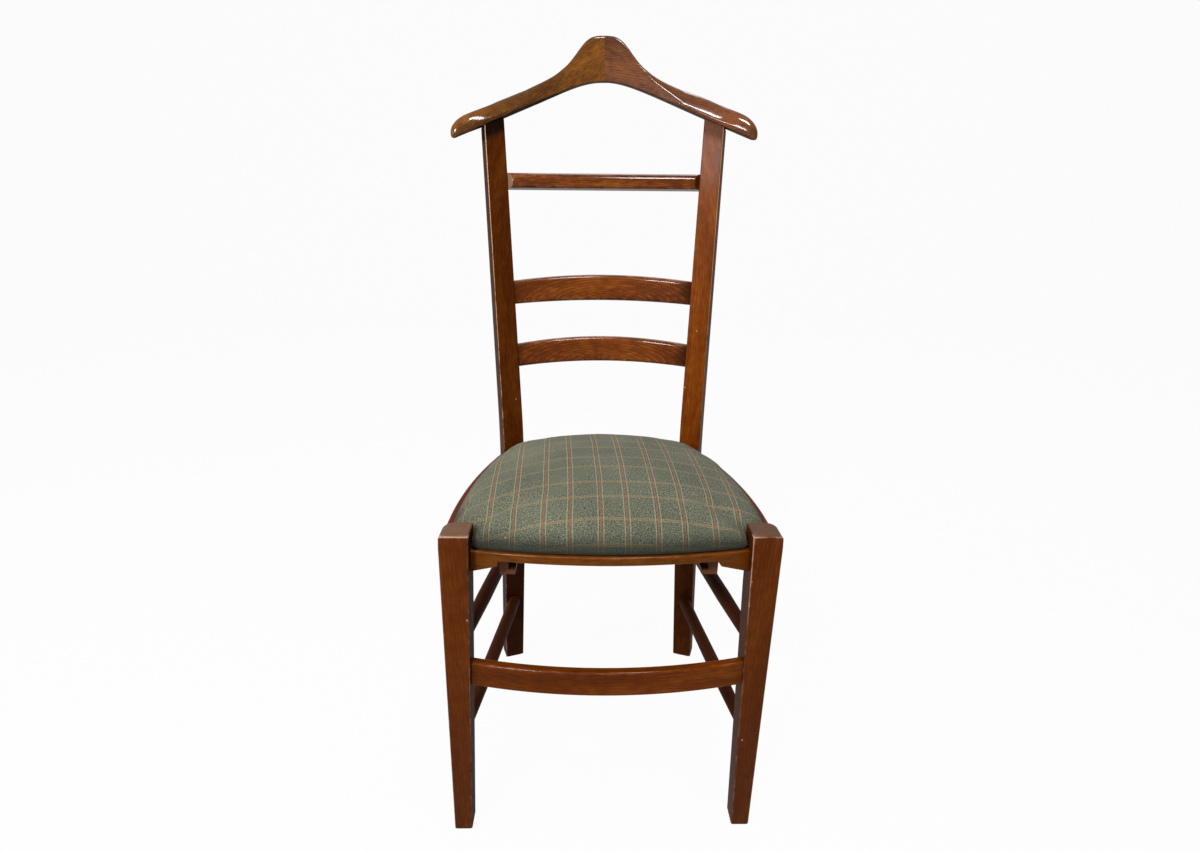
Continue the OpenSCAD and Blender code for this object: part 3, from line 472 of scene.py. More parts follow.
def wood(name, dark, body, light, bare, worn=0.25, contrast=1.0, rough=0.34, marks=(), extra=None,
         rings=0.0034, lean=0.7, lines=0.06, coat=0.06, bumpy=0.5, film=(0.1, 1.35)):
    """Stained and varnished beech in the piece's own grain coordinates (along, across, through).

    Broad bands, clouds and fine streaks are noise stretched along the grain. Growth lines are
    the narrow crests of waves across it, warped and broken by noise. Flecks are short dark
    dashes. Edges and chips show bare wood, fully where the edge mask passes 1; on the edges
    where it passes 1 that is a painted highlight as well as wear. The dark mask is darker and
    dull: on some pieces it is painted shade, on others it darkens ends and joints. film is the
    varnish's roughness and index.
    """
    kit = Kit(name)
    grain = kit.attribute("grain", "Vector")
    _along, across, through = kit.split(grain)
    band = kit.noise(kit.stretch(grain, (4, 30, 30)), 1.0, 2.0, 0.5)
    cloud = kit.noise(kit.stretch(grain, (70, 110, 110)), 1.0, 2.0, 0.55)
    streak = kit.noise(kit.stretch(grain, (45, 900, 900)), 1.0, 3.0, 0.65, 0.2)
    fleck = kit.noise(kit.stretch(grain, (330, 1900, 1900)), 1.0, 1.0, 0.5)
    warp = kit.noise(kit.stretch(grain, (8, 26, 26)), 1.0, 2.0, 0.5)
    slant = across * math.cos(lean) + through * math.sin(lean)
    wave = (slant * (2 * math.pi / rings) + warp * 7.0).math("SINE")
    line = (wave * 0.5 + 0.5) ** 7.0 * (cloud * 2.0 + streak * 1.2 - 1.1).clamp()
    tone = (band - 0.5) * (0.9 * contrast) + (cloud - 0.5) * (0.4 * contrast) \
        + (streak - 0.5) * (1.0 * contrast) + line * (lines * 2.6) + (0.5 - lines * 0.3)
    colour = kit.node("ValToRGB", {"stops": [(0.0, dark), (0.5, body), (1.0, light)]}, {"Fac": tone.clamp()})
    colour = kit.blend(fleck.step(0.6, 0.78) * 0.3, colour, scaled(dark, 0.7))
    # the dark mask: painted shade on some pieces, darker ends and joints on others, blended towards a near-black
    # tone
    shadow = kit.attribute("dark")
    colour = kit.blend(shadow * 0.96, colour, scaled(dark, 0.12))
    edge = kit.attribute("edge")
    # where the edge mask passes 1 the bare colour is a painted highlight along a lit edge, with some wear
    bald_and_lit = (edge - 1).clamp()
    rub_and_highlight = (edge * 0.55 + (cloud - 0.5) * 1.2 + (streak - 0.5) * 0.8).step(0.35, 0.8) \
        * (bald_and_lit * (1 - worn) + worn)
    colour = kit.blend(rub_and_highlight, colour, bare)
    height = streak * 0.5 + fleck * 0.3 + wave * 0.1
    gloss = (cloud - 0.5) * (0.3 * bumpy) + rub_and_highlight * 0.25 + shadow * 0.3 + rough
    place_at = kit.node("TexCoord", {}, out="Object")
    chips = None
    for x, y, z, size in marks:
        away = kit.away(place_at, (x, y, z))
        spot = 1 - (away + (streak - 0.5) * (size * 0.6)).step(size * 0.75, size * 1.05)
        chips = spot if chips is None else chips.math("MAXIMUM", spot)
    if chips is not None:
        colour = kit.blend(chips * 0.85, colour, bare)
        height = height - chips * 1.5
        gloss = gloss + chips * 0.3
    if extra is not None:
        colour, gloss = extra(kit, colour, gloss, place_at, streak, cloud)
    return kit.surface(Base_Color=colour, Roughness=gloss.clamp(), Normal=kit.bump(height, 0.0001, bumpy),
                       Coat_Weight=((1 - shadow) * (edge * 0.4 + coat)).clamp(), Coat_Roughness=film[0],
                       Coat_IOR=film[1], Specular_IOR_Level=0.04)


def finish(context):
    """Sizes in mm and the colours that the panel holds."""
    sizes = {key: getattr(context.scene.valet_sizes, key) / MM for key in ValetSizes.__annotations__}
    colours = {key: tuple(getattr(context.scene.valet_colours, key)) for key in ValetColours.__annotations__}
    return type("Set", (), sizes), type("Set", (), colours)


def scaled(colour, k):
    return tuple(c * k for c in colour)


def shades(colour, dark, body, light):
    """One colour's dark, body and light tones."""
    return scaled(colour, dark), scaled(colour, body), scaled(colour, light)


def beech(col, dark=1.0, body=1.0, light=1.0):
    """The brown beech's three colours, scaled."""
    return scaled(col.beech_dark, dark), scaled(col.beech_brown, body), scaled(col.beech_light, light)


# ---------------------------------------------------------------- pieces

class VALET_OT_front_legs(bpy.types.Operator):
    """Two tapered front legs with a rounded outer rear corner"""
    bl_idname = "valet.front_legs"
    bl_label = "Front legs"

    def execute(self, context):
        size, col = finish(context)
        z = end_steps(0, LEG_H, FOOT_EASING, 40)
        foot = round_inset(z, FOOT_EASING)
        top = round_inset(LEG_H - z, size.leg_top_easing)
        outer = round_inset(LEG_H - z, size.leg_top_round)
        e = size.leg_easing
        loops, edge = eased_box(leg_in(z) + foot + top, leg_out(z) - foot - outer, leg_front(z) + foot + top,
                                leg_back(z) - foot - top, (e, e, size.leg_back_corner, e))
        across, depth = loops[..., 0], loops[..., 1]
        zz = np.broadcast_to(z[:, None], across.shape)
        edge = np.broadcast_to(edge, zz.shape) * 1.0
        # painted highlight: the top rim of each leg shows the bare colour, as lit
        edge[-6:] = np.maximum(edge[-6:], np.linspace(0.4, 0.9, 6)[:, None])
        below = LEG_H - zz
        brink = (below < 1.7) & (below > 0.1) & (depth < leg_front(zz) + 3.2)
        # painted shade: the inner and rear faces are darker, and the legs darker towards the foot
        inner_shade = np.maximum(np.clip(1 - (across - leg_in(zz)) / 1.2, 0, 1) * 0.55,
                                 np.clip(1 - (leg_back(zz) - depth) / 1.2, 0, 1) * 0.3)
        foot_shade = np.clip(1 - zz / 330, 0, 1) * 0.16
        rise = zz / LEG_H
        share = np.clip((across - leg_in(zz)) / (leg_out(zz) - leg_in(zz)), 0, 1)

        def top_grain(kit, colour, gloss, at, streak, cloud):
            px, py, height = kit.split(at)
            top_mask = height.step((LEG_H - 1.2) * MM, (LEG_H - 0.4) * MM)
            # growth rings cut slantwise by the top
            ring = ((px + py * 0.8) * 2600 + cloud * 5).math("SINE") * 0.5 + 0.5
            face = kit.blend(px.step(0, 0.01) * 0.7, col.end_grain, scaled(col.end_grain, 0.45))
            worn = kit.blend((ring * 0.45 + streak * 0.5 + cloud * 0.2).step(0.2, 0.8),
                             scaled(col.end_grain, 0.5), face)
            return kit.blend(top_mask * 0.9, colour, worn), gloss + top_mask * 0.25
        # each leg is wider than drawn by outer and inner, and the left one stands forward at its foot;
        # the last two numbers are the painted highlight on its front top edge and the depth of the
        # painted shade on its inner faces
        for side, name, outer, inner, forward, rubbed_and_lit, inner_shading in (
                (-1, "front_leg_left", 1.5, (0.6, 2.0), 4.0, 2.0, 1.4),
                (1, "front_leg_right", 0.0, (2.4, 1.6), 0.0, 1.35, 0.9)):
            wider = mix(-mix(*inner, rise), mix(outer, 0.8, rise), share)
            points = grid_of(across + wider, depth - forward * (1 - rise), zz)
            worn_edge = edge.copy()
            # painted highlight along the front top edge, with some wear
            worn_edge[brink] = rubbed_and_lit
            if side > 0:
                # the inner front edge is the first corner of each loop; above 330 mm it gets a painted highlight
                worn_edge[:, :6] *= 1 + 0.7 * np.clip((zz[:, :6] - 330) / 60, 0, 1)
            timber(name, mirror(points, side), "brown_beech", grid_of(zz, across - 180, depth - 17),
                   beech(col, 0.8, 0.8, 0.8), col.bare_wood, worn_edge,
                   np.maximum(inner_shade * inner_shading, foot_shade), worn=0.3, contrast=0.65, extra=top_grain)
        return {"FINISHED"}


# a loop's points at a post's outer front edge and on its outer side
OUTER_FRONT, OUTER_SIDE = slice(9, 15), slice(14, 18)


class VALET_OT_rear_posts(bpy.types.Operator):
    """Two posts, bent back at the seat and cut to the hanger's underside"""
    bl_idname = "valet.rear_posts"
    bl_label = "Rear posts"

    def execute(self, context):
        size, col = finish(context)
        c, s = math.cos(TURN), math.sin(TURN)
        corners = (POST_FOOT, POST_SEAT, POST_HEAD)
        u = [x * c - y * s for x, y in corners]
        v = [x * s + y * c for x, y in corners]
        z = np.concatenate([[0, 1.3, 2.7, 4], np.linspace(12, SEAT_H - 70, 26),
                            np.linspace(SEAT_H - 60, SEAT_H + 60, 25),
                            np.linspace(SEAT_H + 72, POST_TOP - 40, 34),
                            np.linspace(POST_TOP - 34, POST_TOP - 12, 6), [POST_TOP + 30]])
        under_cut = arm_under(post_head()) - 0.1
        slope = UNDER_FALL * post_head() / math.hypot(post_head(), UNDER_ROUND)

        def ring(zs):
            """Loops at these heights, a little wider than drawn, and more so below the seat."""
            foot = np.clip(FOOT_EASING - zs, 0, FOOT_EASING)
            x1 = post_blend(zs, *u) - foot + 1.2
            x0 = post_blend(zs, *np.subtract(u, POST_W)) + foot - 0.8 - 2.8 * smooth((SEAT_H - zs) / 45)
            y0 = post_blend(zs, *v) + foot
            y1 = post_blend(zs, *np.add(v, POST_D)) - foot
            loops, edge = eased_box(x0, x1, y0, y1, (size.leg_easing,) * 4)
            return loops[..., 0] * c + loops[..., 1] * s, -loops[..., 0] * s + loops[..., 1] * c, loops, edge
        x, y, loops, edge = ring(z)
        zz = np.repeat(z[:, None], loops.shape[1], 1)
        # the last loop lies on the plane of the hanger's underside, found by repetition
        own = np.arange(loops.shape[1])
        for _ in range(12):
            zz[-1] = POST_TOP + (under_cut - slope * (x[-1] - post_head())
                                 - (y[-1] - POST_HEAD[1]) * math.sin(RAKE)) / math.cos(RAKE)
            x[-1], y[-1], loops[-1] = [part[own, own] for part in ring(zz[-1])[:3]]
        # painted highlight with some wear along the outer front edge, growing towards the top
        rubbed_and_lit = np.broadcast_to(edge, zz.shape) * 0.6
        rubbed_and_lit[:, OUTER_FRONT] = edge[OUTER_FRONT] ** 3 \
            * np.clip(1.35 + (zz[:, OUTER_FRONT] - 500) / 400, 1.1, 2.2)
        # painted shade below the seat and on the outer sides
        post_shade = np.clip((SEAT_H + 8 - zz) / 25, 0, 1) * 0.6
        post_shade[:, OUTER_SIDE] = np.maximum(post_shade[:, OUTER_SIDE], 0.35)
        # painted shadow of the hanger on the tops of the posts
        under_hanger = np.clip((zz - zz[-1:] + 29) / 9, 0, 1)
        # the grain leaves the post's line towards the top
        drift = np.maximum(zz - 620, 0) ** 2 / 1500
        grain = grid_of(zz, loops[..., 0] - u[1] + 15 + drift, loops[..., 1] - post_blend(zz, *v) - 15)
        # the left post is painted darker and the right one lighter, as shaded and lit copies of one beech, and
        # the left post's edges show more painted highlight; shade_top is the strength of the painted shadow under
        # the hanger
        for side, name, dark, body, worn, shade_top in ((-1, "rear_post_left", 0.62, 0.48, 0.6, 1.0),
                                                        (1, "rear_post_right", 1.0, 1.1, 0.15, 0.45)):
            timber(name, mirror(grid_of(x, y, zz), side), "brown_beech", grain, beech(col, dark, body, body),
                   col.rubbed_edge, rubbed_and_lit, np.maximum(under_hanger * shade_top, post_shade), worn=worn, lean=0.0,
                   lines=0.12)
        return {"FINISHED"}


RAIL_R = bow_radius(leg_in(SEAT_H), RAIL_BOW)
RAIL_CROWN = RAIL_T - RAIL_BOW
SIDE_X, SIDE_Y, SIDE_R = 197.0 - 745.0, 88.0, 745.0
NOSE_Y, NOSE_R = 95.0, 250.0


def side_face(y):
    """Outer face of a side rail: an arc, which turns in towards the leg over its front end."""
    wide = SIDE_X + np.sqrt(SIDE_R ** 2 - (y - SIDE_Y) ** 2)
    nose_x = leg_out(SEAT_H) + 1 - math.sqrt(NOSE_R ** 2 - (NOSE_Y - leg_back(SEAT_H)) ** 2)
    nose = nose_x + np.sqrt(np.maximum(NOSE_R ** 2 - (np.minimum(y, NOSE_Y) - NOSE_Y) ** 2, 0))
    return np.where(y < NOSE_Y, np.minimum(wide, nose), wide)


def pad_back_arc():
    """Radius of the arc of the pad's rear edge."""
    return bow_radius(POST_SEAT[0], PAD_BEND)


class VALET_OT_seat_rails(bpy.types.Operator):
    """Bowed front rail with two ears, curved side rails and the rear rail"""
    bl_idname = "valet.seat_rails"
    bl_label = "Seat rails"

    def execute(self, context):
        size, col = finish(context)
        e = size.rail_easing
        gold = shades(col.rail_gold, 0.36, 0.9, 1.4)
        # front rail
        end = leg_in(FRAME_UNDER) + 5
        half = np.concatenate([np.linspace(0, 124, 32), np.linspace(125, 129, 9), np.linspace(132, end, 10)])
        x = np.concatenate([-half[:0:-1], half])
        ax = np.abs(x)
        low = np.interp(ax, [0, 126, 127.5, leg_in(FRAME_UNDER)],
                        [SEAT_H - 10.8, SEAT_H - 10.8, SEAT_H - 18, FRAME_UNDER - 3.8])
        points, grain, edge = bowed_band(x, RAIL_R, RAIL_CROWN, RAIL_T, low, SEAT_H, e)

        def front_tones(kit, colour, gloss, at, streak, cloud):
            px = kit.split(at)[0]
            colour = kit.blend(px.step(0.1, 0.16) * 0.5, colour, col.beech_brown)
            seam = 1 - ((px - 0.0125) + (streak - 0.5) * 0.0006).math("ABSOLUTE").step(0.0002, 0.0006)
            return kit.blend(seam * 0.6, colour, scaled(col.beech_dark, 0.4)), gloss
        timber("front_rail", points, "golden_beech", grain - [0, SEAT_H, 0], gold, col.bare_wood, edge,
               np.clip((ax - 145) / 15, 0, 1)[:, None] * 0.25, worn=0.12, contrast=1.5, extra=front_tones)
        # side rails, whose last loop lies on the post's front face
        vf = POST_SEAT[0] * math.sin(TURN) + POST_SEAT[1] * math.cos(TURN)
        y = np.concatenate([np.linspace(leg_back(SEAT_H) - 4, 95, 24), np.linspace(100, 318, 46), [330.0]])
        inner = SIDE_X + np.sqrt((SIDE_R - 30) ** 2 - (y - SIDE_Y) ** 2)
        loops, edge = eased_box(inner, side_face(y), SEAT_H - 24, SEAT_H, (e, e, 2.6, e))
        xx, zz = loops[..., 0], loops[..., 1]
        yy = np.repeat(y[:, None], loops.shape[1], 1)
        yy[-1] = (vf - xx[-1] * math.sin(TURN)) / math.cos(TURN) - 0.05
        for side, name in ((-1, "side_rail_left"), (1, "side_rail_right")):
            def rim(kit, colour, gloss, at, streak, cloud):
                inward = kit.attribute("grain", "Vector")
                across = kit.split(inward)[1] - GRAIN_AT[name] * MM
                height = kit.split(at)[2].step((SEAT_H - 1) * MM, (SEAT_H - 0.3) * MM)
                strip = across.math("ABSOLUTE").step(0.0078, 0.0086) * height
                return kit.blend(strip * 0.5, colour, scaled(col.end_grain, 0.9)), gloss + strip * 0.2
            timber(name, mirror(grid_of(xx, yy, zz), side), "golden_beech",
                   grid_of(yy, xx - side_face(yy), zz - SEAT_H), shades(col.rail_red, 0.5, 1.0, 1.5),
                   col.bare_wood, edge, worn=0.3, extra=rim, coat=0.05)
        # rear rail, whose front follows the pad's edge where that is further forward
        front = float(post_back(SEAT_H) + post_w(SEAT_H) * math.sin(TURN)) + 2
        end = float(post_in(SEAT_H)) + 6
        x = np.linspace(-end, end, 25)
        pad_edge = PAD_BACK - pad_back_arc() + np.sqrt(pad_back_arc() ** 2 - x ** 2)
        loops, edge = eased_box(np.minimum(front, pad_edge - 9), front + 20, SEAT_H - 30, SEAT_H, (e,) * 4)
        points = grid_of(x[:, None], loops[..., 0], loops[..., 1])
        timber("rear_rail", points, "golden_beech",
               grid_of(points[..., 0], loops[..., 1] - 400, loops[..., 0] - 350),
               gold, col.bare_wood, edge, worn=0.15)
        return {"FINISHED"}


class VALET_OT_stretchers(bpy.types.Operator):
    """Bowed front stretcher and four round side stretchers that thin towards the front"""
    bl_idname = "valet.stretchers"
    bl_label = "Stretchers"

    def execute(self, context):
        size, col = finish(context)
        low, high, thick, bow, face = 243.0, 277.4, 12.5, 20.5, 6.0
        mid = (low + high) / 2
        x = np.linspace(-leg_in(mid) - 5, leg_in(mid) + 5, 71)
        points, grain, edge = bowed_band(x, bow_radius(leg_in(mid), bow), face - bow, thick, low, high,
                                         size.stretcher_easing)
        timber("front_stretcher", points, "brown_beech", grain - [0, mid, 0], beech(col), col.bare_wood, edge,
               np.clip((np.abs(x) - 150) / 20, 0, 1)[:, None] * 0.35, worn=0.08)
        for level, front_z, rear_z in (("upper", 287.5, 266.5), ("lower", 149.5, 130.5)):
            a = np.array([(leg_in(front_z) + leg_out(front_z)) / 2, leg_back(front_z), front_z])
            w = float(post_w(rear_z))
            b = np.array([float(post_out(rear_z)) - w / 2 * math.cos(TURN),
                          float(post_back(rear_z)) + w / 2 * math.sin(TURN), rear_z])
            run = np.linalg.norm(b - a)
            d = (b - a) / run
            across = np.cross(d, [0, 0, 1.0])
            across /= np.linalg.norm(across)
            up = np.cross(across, d)
            s = np.linspace(-3, run + 3, 60)[:, None]
            radius = np.interp(s, [0, 110], [8.0, 10.0])
            turn = np.linspace(0, 2 * math.pi, 41)[:-1]
            side_x, side_z = radius * np.cos(turn), radius * np.sin(turn)
            points = a + s[..., None] * d + side_x[..., None] * across + side_z[..., None] * up
            for side, word in ((-1, "left"), (1, "right")):
                timber("%s_side_stretcher_%s" % (level, word), mirror(points, side), "dark_beech",
                       grid_of(s, side_x, side_z), shades(col.rod_brown, 0.45, 1.0, 1.5), col.bare_wood,
                       dark=np.clip(1 - s / 40, 0, 1) * 0.4, even=False, worn=0.0, rough=0.5, coat=0.0)
        return {"FINISHED"}


class VALET_OT_slats(bpy.types.Operator):
    """Two slats, bowed back and arched, with an arched figure in the grain"""
    bl_idname = "valet.slats"
    bl_label = "Slats"

    def execute(self, context):
        size, col = finish(context)
        bow, crest_rise, arch_rise, half_h, thick = 30.0, 12.5, 8.5, 17.5, 14.0
        e = size.slat_easing
        for name, z0, shift in (("lower_slat", 574.685, 1.0), ("upper_slat", 668.402, -5.0)):
            half = float(post_in(z0))
            x = np.linspace(-half - 4, half + 4, 91)
            r, crest, arch = (bow_radius(half, rise) for rise in (bow, crest_rise, arch_rise))
            front = float(inner_line(z0)) + 2 + bow - r + np.sqrt(r * r - x * x)
            top = half_h + crest_rise - crest + np.sqrt(crest ** 2 - x * x)
            low = arch_rise - half_h - arch + np.sqrt(arch ** 2 - x * x)
            loops, edge = eased_box(np.zeros(len(x)), thick, low, top, (e, e, e, e * 1.5), k=7, side=7)
            depth, height = loops[..., 0], loops[..., 1]
            x, front = x[:, None], front[:, None]
            slant = -x / np.sqrt(r * r - x * x)
            points = grid_of(x - depth * slant / np.hypot(1, slant), front + depth / np.hypot(1, slant), height)
            # nested arches: distance from a point just under the slat, flattened sideways
            gx, gz = x * 0.34 + shift, height + 17
            timber(name, from_rake(z0, points), "brown_beech",
                   grid_of(np.arctan2(gx, gz) * 90, np.hypot(gx, gz) + 0.3 * depth, depth),
                   beech(col, 1.0, 1.02, 1.15), col.bare_wood, edge,
                   np.clip((x - half + 22) / 20, 0, 1) ** 1.3 * 0.75 + np.clip((-x - half + 12) / 12, 0, 1) * 0.4,
                   worn=0.2, contrast=1.25, rings=0.0037, lean=0.0, lines=0.16, coat=0.85, bumpy=0.25)
        return {"FINISHED"}


class VALET_OT_trouser_bar(bpy.types.Operator):
    """Trouser bar with bevelled ends"""
    bl_idname = "valet.trouser_bar"
    bl_label = "Trouser bar"

    def execute(self, context):
        size, col = finish(context)
        z0, bevel, thick, high = 826.2, 8.0, 22.0, 22.6
        half = float(post_in(z0))
        face = float(inner_line(z0)) - 6
        part = np.concatenate([np.linspace(0, half - bevel - 1, 30), np.linspace(half - bevel, half + 1.5, 14)])
        x = np.concatenate([-part[:0:-1], part])
        r = size.bar_easing
        loops, edge = eased_box(np.full(len(x), face), face + thick, -high / 2, high / 2, (r, r, r, r * 2.5),
                                k=12, side=5)
        cut = face + np.abs(x) - (half - bevel)
        y = np.maximum(loops[..., 0], cut[:, None])

        # the bevels: the left one is painted light, bare wood catching the light with some wear, and the right
        # one is painted in shade
        def bevels(kit, colour, gloss, at, streak, cloud):
            along, _up, depth = kit.split(kit.attribute("grain", "Vector"))
            mask = (along.math("ABSOLUTE") - (half - bevel) * MM - depth).step(-0.0004, -0.0001)
            left = mask * (1 - along.step(-0.01, 0.01))
            right = mask * along.step(-0.01, 0.01)
            end = kit.blend(streak.step(0.3, 0.7), scaled(col.bare_wood, 0.42), scaled(col.bare_wood, 0.62))
            colour = kit.blend(left * 0.85, colour, end)
            return kit.blend(right * 0.7, colour, scaled(col.beech_dark, 0.45)), gloss + left * 0.25
        timber("trouser_bar", from_rake(z0, grid_of(x[:, None], y, loops[..., 1])), "brown_beech",
               grid_of(x[:, None], loops[..., 1], y - face), beech(col, 0.9, 0.9, 1.0), col.bare_wood, edge,
               worn=0.1, contrast=2.0, rough=0.25, coat=0.9, bumpy=0.2, extra=bevels)
        return {"FINISHED"}


# slope of an arm's underside, and the half width of its rounding in the middle
UNDER_FALL, UNDER_ROUND = math.tan(math.radians(27.16)), 43.0
# how far an arm reaches past the drawn end
ARM_OVER = 0.8


def arm_top(x):
    """Sloping line rounded in the middle, plus a bell-shaped crown."""
    return 101.5 - math.tan(math.radians(25.36)) * np.sqrt(x * x + 1600.0) + 42.0 / (1 + (x / 44.5) ** 4)


def arm_under(x):
    """Sloping line rounded in the middle."""
    return 89.0 - UNDER_FALL * np.sqrt(x * x + UNDER_ROUND ** 2)


def arm_face(x):
    """Plan of an arm's front face: swept forward by an angle and a growing curve."""
    return 29.5 - math.tan(math.radians(4.9)) * x - 29.0 * (x / HANGER_HALF) ** 2


def post_head():
    """Distance from the middle at which a post's centre meets the hanger."""
    return POST_HEAD[0] - POST_W[2] / 2 * math.cos(TURN) + POST_D[2] / 2 * math.sin(TURN)


def arm_grid(x, side):
    """Sections along an arm, going round from the bottom rear corner, and a mask of the underside.

    In the crown the front is flat with eased edges. From 62 to 117 mm out a crease runs down
    the front from the top edge to the bottom one, and above it the section is part of an
    ellipse that starts at an angle to the flat; towards the tip that angle goes and the section
    is round. At the tip it closes by roots of 1 - t^n. The two arms were shaped by hand: the
    right one is deeper, and its underside faces further forward.
    """
    x = x[:, None]
    rise, begin, over = (4.4, 46.0, 75.0) if side < 0 else (8.6, 40.0, 110.0)
    top = arm_top(x) + mix(-1.4, rise, smooth((x - begin) / over)) - 3.0 * smooth((x - 150) / 50)
    under = arm_under(x)
    f = np.clip((x - 62) / 55, 0, 1)
    tip = smooth((x - 158) / 38)
    drop, wide = mix(5.0, top - under - mix(4.5, 6.5, tip), f), mix(4.6, mix(23.0, 17.0, tip), f)
    start = math.radians(54) * np.clip(f * 4, 0, 1) * (1 - tip)
    s = np.linspace(0, 1, 17)
    angle = start + (math.pi / 2 - start) * s
    front = [wide * (np.cos(start) - np.cos(angle)) / np.cos(start),
             top - drop * (1 - np.sin(angle)) / (1 - np.sin(start))]

    def corner(y, z, r, first):
        t = np.radians(first - np.linspace(0, 90, 6))
        return [y + r * np.cos(t) + 0 * x, z + r * np.sin(t)]

    def straight(a, b, at):
        at = np.array(at)
        return [mix(a[0][:, -1:], b[0][:, :1], at), mix(a[1][:, -1:], b[1][:, :1], at)]
    ease = mix(1.6, mix(4.0, 6.0, tip), f)
    low_rear = corner(HANGER_T - 10.0, under + 10.0, 10.0, 0)
    low_front = corner(ease, under + ease, ease, -90)
    top_rear = corner(HANGER_T - 6.0, top - 6.0, 6.0, 90)
    even = np.linspace(0, 1, 7)[1:-1]
    parts = [low_rear, straight(low_rear, low_front, even), low_front,
             straight(low_front, front, (0.2, 0.4, 0.6, 0.8, 0.93)), front,
             straight(front, top_rear, (0.33, 0.67)), top_rear, straight(top_rear, low_rear, even)]
    y = np.concatenate([p[0] for p in parts], 1)
    z = np.concatenate([p[1] for p in parts], 1)
    below = np.clip(1 - (z - under) / 1.0, 0, 1)
    # how far the underside's rear and front edges hang below the drawn line
    arm, nose = smooth((x - 30) / 70), smooth((x - 165) / 35)
    rear = mix(mix(0.4, 2.6, arm), -0.6, nose) if side < 0 else mix(mix(0.2, 0.4, arm), 0.2, nose)
    fore = mix(mix(6.4, 6.8, arm), 8.4, nose) if side < 0 else mix(6.4, 6.4, arm)
    hang = 1 - (z - under) / (top - under)
    z = z - mix(fore, rear, np.clip(y / HANGER_T, 0, 1)) * np.clip(hang, 0, 1)
    waist = mix(under - 4, top, 0.36)

    def close(over, power):
        t = np.clip((x - HANGER_HALF - ARM_OVER + over) / over, 0, 1)
        return np.sqrt(np.maximum(1 - t ** power, 1e-5))
    k = np.where(z > waist, close(27.0, 2.5), close(9.0, 2.4))
    depth = arm_face(x) + HANGER_T / 2 + close(20.0, 3.0) * (y - HANGER_T / 2)
    return grid_of(x, depth, waist + k * (z - waist)), below


class VALET_OT_hanger(bpy.types.Operator):
    """Coat hanger of two arms, butted under the crown"""
    bl_idname = "valet.hanger"
    bl_label = "Hanger"

    def execute(self, context):
        _size, col = finish(context)
        x = (HANGER_HALF + ARM_OVER) * (1 - (1 - np.linspace(0, 1, 110)) ** 1.7)
        x[0] = 0.02
        for side, name, tone, slot, slope, shaded in (
                (-1, "hanger_left", col.hanger_olive, "olive_beech", 0.62, 0.34),
                (1, "hanger_right", col.hanger_red, "red_beech", 0.2, 0.0)):
            points, below = arm_grid(x, side)
            fx, fy, fz = np.moveaxis(points, -1, 0)
            c, s = math.cos(slope), math.sin(slope)
            # painted shade on the underside, the middle of the left arm and the top rim of the crown; the seam
            # under the crown is a dark joint
            middle = np.clip((fx - 40) / 50, 0, 1) * np.clip((200 - fx) / 30, 0, 1)
            rim = np.clip((fz - arm_top(fx) + 5) / 4, 0, 1) * np.clip((70 - fx) / 30, 0, 1)
            seam = np.clip(1 - np.hypot(fx / 5, (fz - arm_under(0.0)) / 5), 0, 1)
            timber(name, from_rake(POST_TOP, mirror(points, side)), slot,
                   grid_of(fx * c - fz * s, fx * s + fz * c, fy), shades(tone, 0.5, 1.0, 1.5), col.bare_wood,
                   dark=np.clip(below * 0.8 + middle * shaded + rim * 0.6 + seam * 0.7, 0, 1), even=False,
                   worn=0.0, contrast=2.3, rings=0.0033, lean=0.1, lines=0.4, coat=0.95, bumpy=0.15,
                   film=(0.09, 1.42))
        return {"FINISHED"}


class VALET_OT_runners(bpy.types.Operator):
    """Two L-shaped runners under the seat"""
    bl_idname = "valet.runners"
    bl_label = "Runners"

    def execute(self, context):
        size, col = finish(context)
        top = SEAT_H + 0.3 + 1.2 + 0.3
        low = top - 39.5
        x0, x1, y0, y1 = 108.5, 127.0, 24.5, 318.5
        web, foot = 8, 6
        e = size.runner_easing
        corners = np.array([(x0, low), (x1, low), (x1, top), (x0 + web, top), (x0 + web, low + foot),
                            (x0, low + foot)])
        turn = np.linspace(0, 1, 4)[:, None]
        loop = []
        for i, p in enumerate(corners):
            before, after = corners[i - 1] - p, corners[(i + 1) % 6] - p
            before, after = before / np.linalg.norm(before), after / np.linalg.norm(after)
            # a quadratic curve through both tangent points, pulled to the corner
            loop.append((1 - turn) ** 2 * (p + before * e) + 2 * turn * (1 - turn) * p
                        + turn ** 2 * (p + after * e))
        loop = np.concatenate(loop)
        y = np.concatenate([[y0, y0 + 0.3, y0 + 0.8], np.linspace(30, 313, 30),
                            [y1 - 0.8, y1 - 0.3, y1]])[:, None]
        inset = round_inset(np.minimum(y - y0, y1 - y), e)
        pull = loop - loop.mean(0)
        pull = pull / np.abs(pull).max(0)
        across, height = loop[:, 0] - inset * pull[:, 0], loop[:, 1] - inset * pull[:, 1]
        points = grid_of(across, y, height)
        # painted shade in the inner corner of the L
        inside = np.clip((height - low - 6.5) / 2, 0, 1) * np.clip(1 - (across - x0 - 7) / 2, 0, 1)
        for side, name in ((-1, "runner_left"), (1, "runner_right")):
            timber(name, mirror(points, side), "runner_beech", grid_of(y, across - 118, height - 400),
                   shades(col.runner_brown, 0.5, 1.0, 1.3), col.bare_wood, dark=inside * 0.8,
                   worn=0.3, rough=0.45)
        return {"FINISHED"}


# ---------------------------------------------------------------- cushion

PAD_MID, PAD_BACK, PAD_BEND, CROWN = 180.0, 352.0, 25.0, 49.5
PAD_UNDER = SEAT_H + 0.3
# share of the slack that the cushion starts inside its outline, and under its crown
SLACK_IN, SLACK_UNDER = 0.4, 0.8
# bare wood seen beside the pad
RIM_W = 10


def ray_circle(dx, dy, cx, cy, r):
    """Distance along a ray from the pad's middle to a circle round it."""
    b = -cx * dx + (PAD_MID - cy) * dy
    return -b + np.sqrt(b * b - cx * cx - (PAD_MID - cy) ** 2 + r * r)


